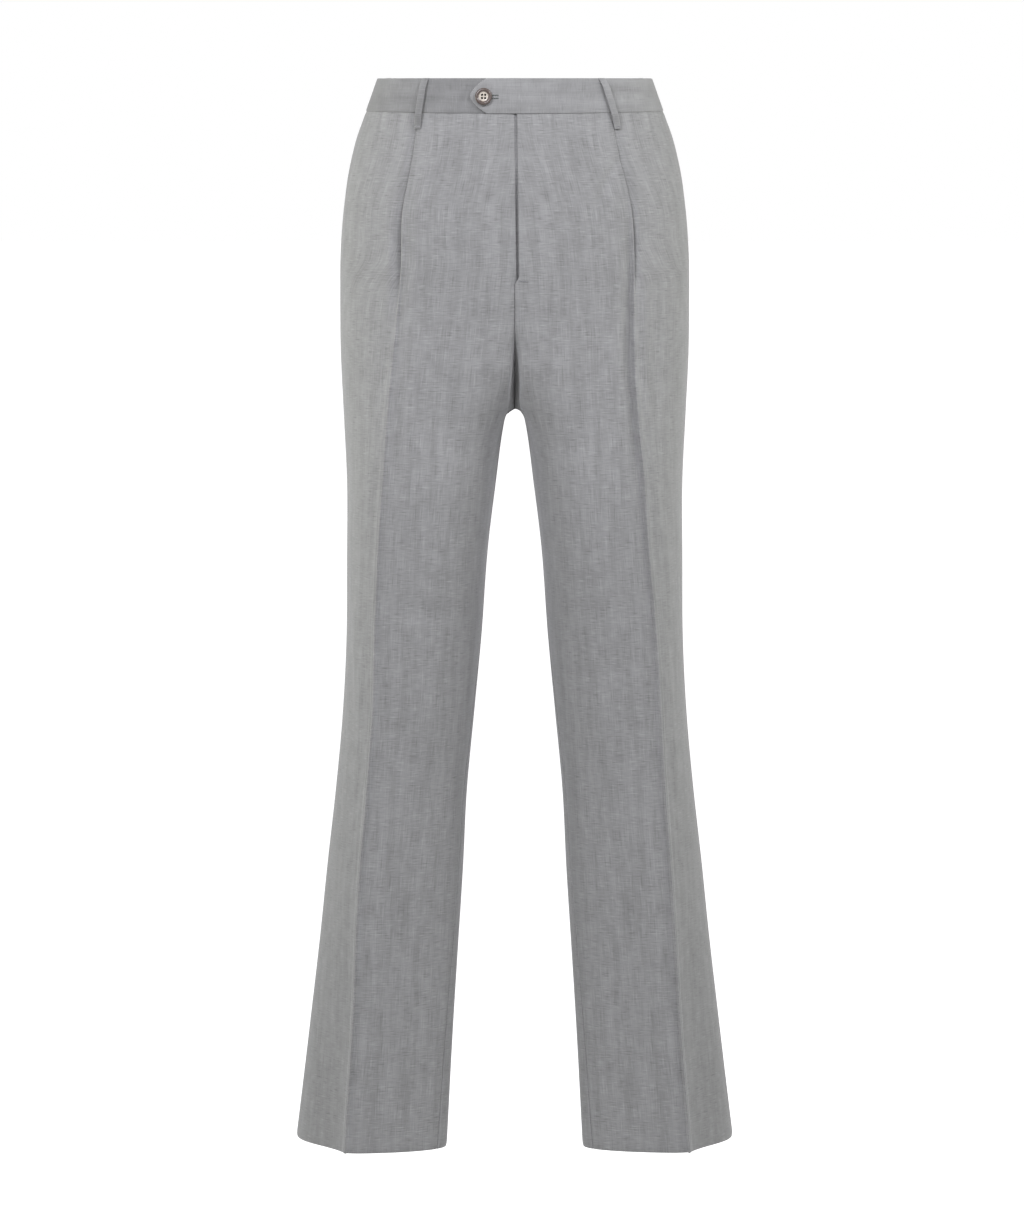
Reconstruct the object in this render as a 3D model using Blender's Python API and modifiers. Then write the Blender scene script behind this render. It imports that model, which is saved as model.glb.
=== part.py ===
"""Pleated dress trousers in their worn, hollow form, as closed cloth solids.

Frame: metres, +Z up, origin at the middle of the waist, -Y to the front and
+X to the wearer's left.  The sizes below are in millimetres, and MM turns them
into metres when a mesh is made.

Every panel is read from one skin: a stack of horizontal sections.  Half a
section runs round one leg through five corners, counted as stations:
0 centre front (or inseam), 1 front crease, 2 side seam, 3 rear crease and
4 centre back (or inseam again).
"""
import math

import bmesh
import bpy
import numpy as np
from mathutils import Matrix, Vector

MM = 0.001

# Cloth and seams
CLOTH = 1.1
SEAM_GAP = 0.3
WAIST_TOP = 17.5
WAIST_SEAM = -17.0
SIDE_SEAM_RISE = 2.2
RISE_FADES_AT = -60.0
UNDER_LAYERS_SHORTER = 0.4
HEM = -1094.0

# Fork of the legs: where each centre seam starts to turn under, the fork itself
# and the small arch by which the inseam opens below it
FRONT_RISE_TURNS = -225.0
BACK_RISE_TURNS = -180.0
FORK = -322.0
FORK_DEPTH = -10.0
ARCH = 12.0
BROAD_LAG = 45.0
BROAD_SETTLES = -400.0
EDGE_PULL = 9

# Waistband, with the pointed tab that laps the other half
BAND = 2.2
BAND_PROUD = 0.7
BAND_CLEARS_PANELS = 0.55
TAB_TIP = 46.0
TAB_NOSE = 17.0
TAB_CURVE = 0.6
TAB_LIFT = 0.5
BAND_UNDERLAP = 22.0
BAND_DIP_FROM = -62.0
BAND_DIP_TO = -49.0

# Fly
FLY_END = -188.0
LAP_ENDS = -197.0
LAP_LEVELS = -207.0
FLY_EDGE_TOP = 1.3
FLY_EDGE_LOW = 4.4
FLY_UNDERLAP = 10.0
LAP_COLUMNS = (4.0, 10.0)
SHIELD_LEFT = 34.0
SHIELD_RIGHT = -8.0

# Belt loops
LOOP = 1.3
LOOP_WIDTH = 8.4
LOOP_TOP = 17.0
LOOP_FOOT = -32.0
LOOP_ARCH = 3.2

# Button
BUTTON_RADIUS = 8.8
BUTTON_WELL = 5.1
BUTTON_HEIGHT = 3.6
BUTTON_HOLE = 0.95
BUTTON_HOLE_PITCH = 1.6
BUTTON_FROM_TIP = 14.5
BUTTON_Z = 0.5

# One row for each section.  A crease leans by its angle from the X axis and
# its two flanks open by the turn on either side of that.
SECTION_COLUMNS = (
    "z", "side_x", "side_y",
    "crease_x", "crease_y", "crease_lean", "crease_turn",
    "rear_x", "rear_y", "rear_lean", "rear_turn",
)
SECTIONS = (
    (17.5, 142.2, 0.0, 94.0, -81.4, 31.0, 0.0, 60.0, 88.7, 15.0, 0.0),
    (-17.0, 153.8, 1.0, 98.5, -86.5, 28.5, 0.0, 64.0, 95.4, 15.0, 0.0),
    (-45.0, 164.2, 2.0, 102.0, -91.0, 27.0, 0.0, 68.0, 101.5, 15.0, 0.0),
    (-75.0, 171.6, 3.0, 108.0, -92.5, 27.0, 0.0, 71.0, 107.5, 15.0, 0.0),
    (-110.0, 176.7, 4.0, 116.0, -92.5, 28.0, 0.0, 73.0, 114.0, 15.0, 0.0),
    (-160.0, 180.8, 5.0, 120.0, -93.0, 28.5, 0.0, 75.0, 119.0, 15.0, 0.0),
    (-210.0, 181.4, 5.0, 122.0, -92.5, 29.0, 3.0, 75.0, 120.5, 14.0, 0.0),
    (-260.0, 181.0, 4.0, 124.5, -96.0, 30.0, 6.0, 71.0, 119.0, 4.0, 2.0),
    (-326.0, 178.0, 2.0, 129.0, -103.0, 31.0, 9.0, 62.0, 109.0, -18.0, 5.0),
    (-400.0, 174.6, 0.0, 133.5, -108.0, 32.0, 13.0, 59.5, 98.0, -28.0, 11.0),
    (-480.0, 174.8, -4.0, 139.0, -107.0, 33.0, 17.0, 63.5, 84.0, -31.0, 16.0),
    (-560.0, 175.5, -5.0, 144.5, -103.0, 33.5, 21.0, 66.0, 73.0, -33.0, 20.0),
    (-640.0, 179.8, 0.0, 148.5, -99.0, 34.0, 24.0, 74.0, 69.0, -34.0, 24.0),
    (-720.0, 187.3, 4.0, 154.0, -95.0, 34.0, 27.0, 83.0, 68.0, -35.0, 27.0),
    (-800.0, 196.5, 8.0, 160.0, -92.0, 34.5, 30.0, 90.0, 68.0, -35.0, 30.0),
    (-880.0, 205.0, 13.0, 165.0, -89.0, 34.5, 32.0, 98.5, 68.0, -35.0, 32.0),
    (-960.0, 214.5, 17.0, 169.5, -86.0, 35.0, 33.0, 108.5, 67.5, -35.0, 33.0),
    (-1030.0, 222.2, 21.0, 175.0, -82.5, 35.0, 34.0, 115.0, 67.0, -35.0, 34.0),
    (-1094.0, 229.0, 24.0, 180.0, -80.0, 35.0, 35.0, 120.0, 67.0, -35.0, 35.0),
)

# The fullness at the middle of the body and on the inner side of a leg.  The
# centre seams lie at front_y and back_y until they turn under, and each half
# section sets off towards that depth, at its "out" beyond the inseam.
CENTRE_COLUMNS = ("z", "front_out", "front_y", "back_out", "back_y")
CENTRES = (
    (17.5, 30.0, -104.0, 16.0, 96.0),
    (-17.0, 31.5, -108.5, 17.5, 103.0),
    (-60.0, 35.0, -114.0, 19.0, 113.0),
    (-110.0, 39.0, -117.0, 21.0, 123.0),
    (-160.0, 41.0, -117.5, 22.0, 128.5),
    (-200.0, 40.0, -116.5, 21.5, 130.0),
    (-225.0, 38.0, -115.0, 18.0, 128.0),
    (-260.0, 30.0, -112.0, 10.0, 116.0),
    (-290.0, 21.0, -109.0, 4.0, 96.0),
    (-322.0, 11.0, -106.0, 1.0, 70.0),
    (-345.0, 6.0, -103.0, 0.0, 55.0),
    (-400.0, 1.0, -96.0, 0.0, 35.0),
    (-460.0, 0.0, -88.0, 0.0, 27.0),
    (-560.0, 0.0, -77.0, 0.0, 17.0),
    (-640.0, 0.0, -73.0, 0.0, 13.0),
    (-800.0, 0.0, -69.0, 0.0, 10.0),
    (-960.0, 0.0, -66.0, 0.0, 8.0),
    (-1094.0, 0.0, -64.0, 0.0, 8.0),
)
INSEAM_COLUMNS = ("z", "inner_x", "inner_y", "seam_forward")
INSEAM = (
    (-322.0, 8.0, -10.0, 0.0),
    (-345.0, 12.3, -12.0, 0.0),
    (-400.0, 19.6, -17.0, 0.0),
    (-460.0, 27.0, -20.0, 0.0),
    (-560.0, 34.6, -25.0, 2.0),
    (-640.0, 42.2, -28.0, 4.0),
    (-720.0, 49.7, -30.0, 6.0),
    (-800.0, 53.7, -32.0, 8.0),
    (-880.0, 58.8, -33.0, 10.0),
    (-960.0, 63.8, -35.0, 12.0),
    (-1094.0, 71.0, -37.0, 14.0),
)

# The pleat of each front.  The cloth turns under at the fold's edge, runs back
# as a flap, turns again at a hinge and goes on as the under layer.  The turn
# is 180 degrees where the pleat is shut and 0 where it has run out.
PLEAT_COLUMNS = ("z", "turn", "edge", "flap", "hinge")
PLEAT = (
    (-17.0, 180.0, 4.24, 20.0, 0.8),
    (-60.0, 178.0, 4.24, 18.0, 0.8),
    (-110.0, 172.0, 4.24, 13.0, 0.8),
    (-150.0, 156.0, 4.3, 7.5, 1.0),
    (-178.0, 122.0, 4.4, 3.2, 1.4),
    (-197.0, 70.0, 5.0, 1.8, 2.0),
    (-225.0, 22.0, 7.0, 2.5, 3.0),
    (-262.0, 0.0, 10.0, 5.0, 6.0),
    (-1094.0, 0.0, 10.0, 5.0, 6.0),
)
UNDER_LAYER_FLAT = 5.0
UNDER_LAYER_RISES = 17.0
UNDER_LAYER_MEETS = 30.0

# Rows of every leg panel, in the seat, round the fork and down the leg
SEAT_ROWS = (-17.0, -32.0, -50.0, -72.0, -96.0, -120.0,
             -144.0, -163.0, -178.0, -188.0, -197.0, -207.0)
FORK_ROW_ANGLES = (0.0, 17.0, 33.0, 48.0, 62.0, 76.0, 90.0)
ARCH_ROWS = (0.8, 3.0, 7.0, 12.0)
LEG_ROW_GAPS = (16.0, 22.0, 28.0, 34.0) + 15 * (44.0,)

# Belt loops: name, half of the garment, station and run at the top and foot
LOOP_COLUMNS = ("name", "side", "station", "top_run", "foot_run")
LOOPS = (
    ("belt_loop_front_left", 1, 0, 96.0, 112.0),
    ("belt_loop_front_right", -1, 0, 96.0, 105.0),
    ("belt_loop_side_left", 1, 2, 42.0, 42.0),
    ("belt_loop_side_right", -1, 2, 42.0, 42.0),
    ("belt_loop_back", 1, 4, 0.0, 0.0),
)

# Arcs of a section: samples in each, and its handles as shares of a distance
ARC_STEPS = 40
HANDLE = 0.4
HANDLE_TO_HANDLE = 0.5

# Columns of the panels.  Those of the flank keep their distance to the crease,
# and the inner ones share the room that is left up to the seam.
FRONT_FLANK = 0.72
FRONT_FLANK_COLUMNS = (1.0, 0.78, 0.56, 0.36, 0.17)
FRONT_INNER_COLUMNS = (0.2, 0.42, 0.7)
FRONT_SIDE_STATIONS = (1.55, 1.77, 1.97, 2.0)
BACK_SIDE_STATIONS = (2.0, 2.03, 2.25, 2.5, 2.75, 2.93)
BACK_FLANK_RUNS = (0.0, 12.0, 26.0, 40.0)
BACK_INNER_COLUMNS = (0.25, 0.5, 0.75)
BESIDE_SEAM = 5.0


def column(rows, names, name):
    """One named column of a table, as an array."""
    return np.array([row[names.index(name)] for row in rows], dtype=float)


def smooth_column(rows, names, name, z):
    """A table's column at heights z, on a smooth cubic through its rows."""
    heights = -column(rows, names, "z")
    values = column(rows, names, name)
    gaps = np.diff(heights)
    slopes = np.diff(values) / gaps
    bends = np.empty_like(values)
    bends[1:-1] = (slopes[:-1] * gaps[1:] + slopes[1:] * gaps[:-1]) / (gaps[1:] + gaps[:-1])
    bends[0] = slopes[0]
    bends[-1] = slopes[-1]
    at = -np.asarray(z, dtype=float)
    low = np.clip(np.searchsorted(heights, at) - 1, 0, len(gaps) - 1)
    t = (at - heights[low]) / gaps[low]
    h00 = 2 * t**3 - 3 * t**2 + 1
    h10 = t**3 - 2 * t**2 + t
    h01 = 3 * t**2 - 2 * t**3
    h11 = t**3 - t**2
    return (h00 * values[low] + h10 * gaps[low] * bends[low]
            + h01 * values[low + 1] + h11 * gaps[low] * bends[low + 1])


def section_value(name, z):
    return smooth_column(SECTIONS, SECTION_COLUMNS, name, z)


def ease(t):
    """A soft step from 0 to 1 while t goes from 0 to 1."""
    t = np.clip(t, 0.0, 1.0)
    return t * t * (3.0 - 2.0 * t)


def seam_end(z, turns_at, name):
    """A section's end at a centre seam or at the inseam, its broad place and its handle.

    A centre seam turns under the body on a quarter of an ellipse down to the
    fork, and the inseam ring opens from the fork in a small arch.  The broad
    place follows more slowly, past the fork, so that the panels stay smooth
    there and only their edges dive along the seam.
    """
    centre = smooth_column(CENTRES, CENTRE_COLUMNS, name + "_y", z)
    out = smooth_column(CENTRES, CENTRE_COLUMNS, name + "_out", z)
    inner_x = smooth_column(INSEAM, INSEAM_COLUMNS, "inner_x", np.minimum(z, FORK))
    inner_y = smooth_column(INSEAM, INSEAM_COLUMNS, "inner_y", np.minimum(z, FORK))
    down = np.clip((turns_at - z) / (turns_at - FORK), 0.0, 1.0)
    dived = 1.0 - np.sqrt(1.0 - down**2)
    arch = np.clip((FORK - z) / ARCH, 0.0, 1.0)
    opened = np.sqrt(1.0 - (1.0 - arch) ** 2)
    x = np.where(z < FORK, inner_x * opened, 0.0)
    y = np.where(z < FORK, inner_y, centre + (FORK_DEPTH - centre) * dived)
    settled = ease((turns_at - BROAD_LAG - z) / (turns_at - BROAD_LAG - BROAD_SETTLES))
    seam = pair(x + SEAM_GAP / 2, y)
    broad = pair(inner_x * settled + SEAM_GAP / 2, centre + (inner_y - centre) * settled)
    return seam, broad, pair(inner_x + out, centre)


def pair(x, y):
    return np.stack([x, y], axis=-1)


def arc(start, first, second, end):
    """Cubic arcs from start to end by way of two handles, one arc a row."""
    t = np.linspace(0.0, 1.0, ARC_STEPS + 1)[None, :, None]
    return ((1 - t) ** 3 * start[:, None] + 3 * t * (1 - t) ** 2 * first[:, None]
            + 3 * t**2 * (1 - t) * second[:, None] + t**3 * end[:, None])


def ahead(point, heading, towards, share):
    """A handle that leaves a point on a heading, its length a share of a distance."""
    reach = share * np.linalg.norm(towards - point, axis=1)[:, None]
    return point + reach * pair(np.cos(heading), np.sin(heading))


def half_section(z):
    """Points of half a section at each height: rows x samples x 2."""
    side = pair(section_value("side_x", z), section_value("side_y", z))
    crease = pair(section_value("crease_x", z), section_value("crease_y", z))
    rear = pair(section_value("rear_x", z), section_value("rear_y", z))
    front_seam, front_end, front_handle = seam_end(z, FRONT_RISE_TURNS, "front")
    back_seam, back_end, back_handle = seam_end(z, BACK_RISE_TURNS, "back")
    lean = np.radians(section_value("crease_lean", z))
    turn = np.radians(np.maximum(section_value("crease_turn", z), 0.0))
    rear_lean = np.radians(section_value("rear_lean", z))
    rear_turn = np.radians(np.maximum(section_value("rear_turn", z), 0.0))
    backwards = np.full_like(z, math.pi / 2)
    before_crease = ahead(crease, lean - turn + math.pi, front_handle, HANDLE_TO_HANDLE)
    after_crease = ahead(crease, lean + turn, side, HANDLE)
    before_side = ahead(side, -backwards, crease, HANDLE)
    after_side = ahead(side, backwards, rear, HANDLE)
    before_rear = ahead(rear, -rear_lean - rear_turn, side, HANDLE)
    after_rear = ahead(rear, math.pi - rear_lean + rear_turn, back_handle, HANDLE_TO_HANDLE)
    pull = (1.0 - np.linspace(0.0, 1.0, ARC_STEPS + 1)[None, :, None]) ** EDGE_PULL
    arcs = (
        arc(front_end, front_handle, before_crease, crease) + (front_seam - front_end)[:, None] * pull,
        arc(crease, after_crease, before_side, side),
        arc(side, after_side, before_rear, rear),
        arc(rear, after_rear, back_handle, back_end) + (back_seam - back_end)[:, None] * pull[:, ::-1],
    )
    return np.concatenate([arcs[0]] + [part[:, 1:] for part in arcs[1:]], axis=1)


def arc_lengths(z):
    """Length of each of the half section's arcs: rows x 4."""
    steps = np.linalg.norm(np.diff(half_section(z), axis=1), axis=2)
    return steps.reshape(len(z), 4, ARC_STEPS).sum(axis=2)


def with_neighbours(z, points):
    """The half section with one more arc at each end.

    Above the fork it is the other half's mirrored arc, and in a leg the ring
    simply goes on.
    """
    other_half = points * np.array([-1.0, 1.0])
    in_leg = (z < FORK)[:, None, None]
    before = np.where(in_leg, points[:, -ARC_STEPS - 1:-1], other_half[:, ARC_STEPS:0:-1])
    after = np.where(in_leg, points[:, 1:ARC_STEPS + 1], other_half[:, -2:-ARC_STEPS - 2:-1])
    return np.concatenate([before, points, after], axis=1)


def skin(z, station, run, sink):
    """Points of one half of the garment.

    Row by row at heights z, each point starts at a station, runs on along the
    section by run and is moved in from it by sink.
    """
    points = with_neighbours(z, half_section(z))
    ways = np.gradient(points, axis=1)
    steps = np.linalg.norm(np.diff(points, axis=1), axis=2)
    length = np.concatenate([np.zeros((len(z), 1)), np.cumsum(steps, axis=1)], axis=1)
    corners = length[:, ARC_STEPS:-ARC_STEPS:ARC_STEPS]
    station = np.broadcast_to(station, run.shape)
    whole = np.clip(np.floor(station).astype(int), 0, 3)
    row = np.arange(len(z))[:, None]
    share = station - whole
    target = corners[row, whole] * (1 - share) + corners[row, whole + 1] * share + run
    placed = np.empty(run.shape + (3,))
    for i in range(len(z)):
        x = np.interp(target[i], length[i], points[i, :, 0])
        y = np.interp(target[i], length[i], points[i, :, 1])
        way_x = np.interp(target[i], length[i], ways[i, :, 0])
        way_y = np.interp(target[i], length[i], ways[i, :, 1])
        size = np.hypot(way_x, way_y)
        placed[i, :, 0] = x - sink[i] * way_y / size
        placed[i, :, 1] = y + sink[i] * way_x / size
        placed[i, :, 2] = z[i]
    return placed


def seam_rise(x):
    """The waist seam is a little higher at the side seams than at the centres."""
    return SIDE_SEAM_RISE * (x / section_value("side_x", WAIST_SEAM)) ** 2


def panel_rows():
    """Heights of a leg panel's rows, closer together round the fork."""
    around = [FRONT_RISE_TURNS + (FORK - FRONT_RISE_TURNS) * math.sin(math.radians(angle))
              for angle in FORK_ROW_ANGLES]
    arch = [FORK - down for down in ARCH_ROWS]
    leg = list(arch[-1] - np.cumsum(LEG_ROW_GAPS))
    room = (arch[-1] - HEM) / (arch[-1] - leg[-1])
    leg = [arch[-1] - (arch[-1] - height) * room for height in leg]
    return np.array(list(SEAT_ROWS) + around + arch + leg)


def lay_rows(z, station, run, sink):
    """Skin points of a panel, its waist seam raised at the side and cut back underneath."""
    points = skin(z, station, run, sink)
    fade = np.clip((z - RISE_FADES_AT) / (WAIST_SEAM - RISE_FADES_AT), 0.0, 1.0)
    rise = seam_rise(points[:, :, 0]) - UNDER_LAYERS_SHORTER * sink
    points[:, :, 2] += rise * fade[:, None]
    return points


def pleat_columns(z):
    """Run and sink of the pleat's columns on each row.

    Each link of the fold has a length and a heading, and the columns are the
    running sums of the links.
    """
    heights = -column(PLEAT, PLEAT_COLUMNS, "z")
    turn, edge, flap, hinge = (
        np.interp(-z, heights, column(PLEAT, PLEAT_COLUMNS, name))
        for name in PLEAT_COLUMNS[1:])
    links = np.stack([edge / 3] * 3 + [flap / 2] * 2 + [hinge / 2] * 2, axis=1)
    share = np.array([1 / 6, 1 / 2, 5 / 6, 1.0, 1.0, 3 / 4, 1 / 4])
    heading = np.radians(turn)[:, None] * share
    none = np.zeros((len(z), 1))
    run = np.concatenate([none, np.cumsum(links * np.cos(heading), axis=1)], axis=1)
    sink = np.concatenate([none, np.cumsum(links * np.sin(heading), axis=1)], axis=1)
    clear = np.maximum(run[:, -1:], 0.0) + UNDER_LAYER_FLAT
    drop = sink[:, -1:]
    run = np.concatenate([run, (run[:, -1:] + clear) / 2, clear,
                          clear - UNDER_LAYER_FLAT + UNDER_LAYER_RISES,
                          clear - UNDER_LAYER_FLAT + UNDER_LAYER_MEETS], axis=1)
    sink = np.concatenate([sink, drop, drop, drop * 0.5, none], axis=1)
    return run, sink


def seam_forward(z):
    """How far the inseam lies forward of the ring's innermost point."""
    forward = smooth_column(INSEAM, INSEAM_COLUMNS, "seam_forward", np.minimum(z, FORK))
    return np.where(z < FORK, forward, 0.0)


def share_above(z, low, high):
    """1 above high, 0 below low."""
    return ease((z - low) / (high - low))


def fly_columns(z, side):
    """Run and sink of the first columns at the centre front.

    Down to the fly's foot the left front lies over the right one, and below it
    both end at the centre seam.
    """
    fly = share_above(z, LAP_ENDS, FLY_END)[:, None]
    if side > 0:
        down = np.clip((WAIST_SEAM - z) / (WAIST_SEAM - FLY_END), 0.0, 1.0)[:, None]
        edge = fly * (FLY_EDGE_TOP + (FLY_EDGE_LOW - FLY_EDGE_TOP) * down)
        run = np.concatenate([edge, edge + LAP_COLUMNS[0], 0.0 * edge + LAP_COLUMNS[1]], axis=1)
        return run, np.zeros_like(run)
    run = np.concatenate([-fly * FLY_UNDERLAP, LAP_COLUMNS[0] - fly * FLY_UNDERLAP / 2,
                          0.0 * fly + LAP_COLUMNS[1]], axis=1)
    under = (CLOTH + SEAM_GAP) * np.array([1.0, 1.0, 0.0])
    return run, share_above(z, LAP_LEVELS, LAP_ENDS)[:, None] * under


def front_panel(side):
    """Front of one leg: fly edge, flat front, pleat and side, down to the hem."""
    z = panel_rows()
    none = np.zeros((len(z), 1))
    lap_run, lap_sink = fly_columns(z, side)
    lap_run = lap_run + seam_forward(z)[:, None]
    inner_x = smooth_column(INSEAM, INSEAM_COLUMNS, "inner_x", np.minimum(z, FORK))
    flank = FRONT_FLANK * (section_value("crease_x", z) - inner_x)
    flank_run = -flank[:, None] * np.array(FRONT_FLANK_COLUMNS)
    room = arc_lengths(z)[:, :1] + flank_run[:, :1] - lap_run[:, -1:]
    inner_run = lap_run[:, -1:] + room * np.array(FRONT_INNER_COLUMNS)
    fold_run, fold_sink = pleat_columns(z)
    side_run = none + np.zeros(len(FRONT_SIDE_STATIONS))
    level = none + np.zeros(inner_run.shape[1] + flank_run.shape[1])
    run = np.concatenate([lap_run, inner_run, flank_run, fold_run, side_run], axis=1)
    run[:, -1] -= SEAM_GAP / 2
    run[:, 0] += np.where(z <= FORK, SEAM_GAP / 2, 0.0)
    sink = np.concatenate([lap_sink, level, fold_sink, side_run], axis=1)
    stations = np.concatenate([np.zeros(lap_run.shape[1] + inner_run.shape[1]),
                               np.ones(flank_run.shape[1] + fold_run.shape[1]),
                               FRONT_SIDE_STATIONS])
    return lay_rows(z, stations, run, sink)


def back_panel():
    """Back of one leg, from the side seam to the centre back and the inseam."""
    z = panel_rows()
    none = np.zeros((len(z), 1))
    side_run = none + np.zeros(len(BACK_SIDE_STATIONS))
    flank_run = none + np.array(BACK_FLANK_RUNS)
    room = arc_lengths(z)[:, 3:] - flank_run[:, -1:] - BESIDE_SEAM
    inner_run = flank_run[:, -1:] + room * np.array(BACK_INNER_COLUMNS)
    seam_run = seam_forward(z)[:, None] + np.array([-BESIDE_SEAM, 0.0])
    run = np.concatenate([side_run, flank_run, inner_run, seam_run], axis=1)
    run[:, 0] += SEAM_GAP / 2
    run[:, -1] -= np.where(z <= FORK, SEAM_GAP / 2, 0.0)
    stations = np.concatenate([BACK_SIDE_STATIONS,
                               np.full(flank_run.shape[1] + inner_run.shape[1], 3.0), [4.0, 4.0]])
    return lay_rows(z, stations, run, np.zeros_like(run))


def band_point(station, run, z, sink):
    """A point of the waistband, which is straight from its top edge to the seam."""
    ends = skin(np.array([WAIST_TOP, WAIST_SEAM]), station, np.stack([run, run]),
                np.stack([sink, sink]))
    share = (WAIST_TOP - z) / (WAIST_TOP - WAIST_SEAM)
    points = ends[0] * (1 - share[..., None]) + ends[1] * share[..., None]
    points[..., 2] = z + seam_rise(ends[1][..., 0]) * share
    return points


def waistband(side):
    """Half the waistband; the left half ends in the tab, the right one lies under it."""
    if side > 0:
        first = -TAB_TIP + np.array([0.6, 2.2, 5.0, 9.0, 13.0, 17.0, 26.0, 36.0])
        flat = np.array([0.0, 14.0, 32.0, 52.0])
    else:
        first = np.array([-BAND_UNDERLAP, -8.0])
        flat = np.array([10.0, 28.0, 42.0, 49.0, 55.5, 62.0, 74.0])
    begin = np.concatenate([first, flat])
    rest = np.array([1.0, 1.25, 1.5, 1.75, 2.0, 2.25, 2.5, 2.75, 3.0, 3.33, 3.66, 4.0])
    stations = np.concatenate([np.zeros(len(begin)), rest])
    run = np.concatenate([begin, np.zeros(len(rest))])
    sink = np.full(len(run), -BAND_PROUD)
    at_front = stations == 0.0
    top = np.full(len(run), WAIST_TOP)
    foot = np.full(len(run), WAIST_SEAM + BAND_CLEARS_PANELS)
    if side > 0:
        sink -= np.where(at_front, TAB_LIFT * ease(-run / 30.0), 0.0)
        middle = (WAIST_TOP + WAIST_SEAM + BAND_CLEARS_PANELS) / 2
        half = (WAIST_TOP - WAIST_SEAM - BAND_CLEARS_PANELS) / 2
        nose = np.clip((run + TAB_TIP) / TAB_NOSE, 0.0, 1.0) ** TAB_CURVE
        nose = np.where(at_front, nose, 1.0)
        top = middle + half * nose
        foot = middle - half * nose
    else:
        under = BAND + SEAM_GAP + SEAM_GAP / 2
        dip = 1.0 - ease((run + BAND_DIP_TO) / (BAND_DIP_TO - BAND_DIP_FROM))
        sink += np.where(at_front, under * dip, 0.0)
    rows = [top + (foot - top) * share for share in (0.0, 0.33, 0.67, 1.0)]
    return np.stack([band_point(stations, run, z, sink) for z in rows])


def fly_shield():
    """The strip that closes the fly behind the left front."""
    z = np.array([WAIST_SEAM - 0.6, -50.0, -85.0, -120.0, -155.0, FLY_END + 2.0])
    across = np.linspace(SHIELD_RIGHT, SHIELD_LEFT, 6)
    run = np.broadcast_to(across, (len(z), len(across)))
    behind = 2 * (CLOTH + SEAM_GAP) + 0.1
    return skin(z, np.zeros(len(across)), run, np.full(run.shape, behind))


def belt_loop(station, top_run, foot_run):
    """A loop: sewn at the band's top edge and below the seam, arched between."""
    share = np.array([0.0, 0.05, 0.12, 0.22, 0.36, 0.5, 0.62, 0.72, 0.8, 0.88, 0.95, 1.0])
    z = LOOP_TOP + (LOOP_FOOT - LOOP_TOP) * share
    middle = top_run + (foot_run - top_run) * share
    across = np.array([-0.5, 0.0, 0.5]) * LOOP_WIDTH
    run = middle[:, None] + across[None, :]
    arch = ease(share / 0.2) * ease((1.0 - share) / 0.28) * LOOP_ARCH
    proud = BAND_PROUD * ease((z - WAIST_SEAM + 8.0) / 8.0)
    lift = LOOP + SEAM_GAP + proud + arch
    return skin(z, np.full(3, float(station)), run, np.broadcast_to(-lift[:, None], run.shape))


def cloth_piece(name, points, thickness, side, material, home):
    """A panel: its grid of outer points with a wall laid on the inside."""
    rows, columns = points.shape[:2]
    verts = points.reshape(-1, 3) * MM * np.array([side, 1.0, 1.0])
    faces = []
    for i in range(rows - 1):
        for j in range(columns - 1):
            a = i * columns + j
            quad = (a, a + columns, a + columns + 1, a + 1)
            faces.append(quad if side > 0 else quad[::-1])
    mesh = bpy.data.meshes.new(name)
    mesh.from_pydata([tuple(v) for v in verts], [], faces)
    mesh.materials.append(material)
    mesh.shade_smooth()
    piece = bpy.data.objects.new(name, mesh)
    home.objects.link(piece)
    wall = piece.modifiers.new("wall", "SOLIDIFY")
    wall.thickness = thickness * MM
    wall.offset = -1.0
    wall.use_even_offset = True
    wall.use_quality_normals = True
    return piece


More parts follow.
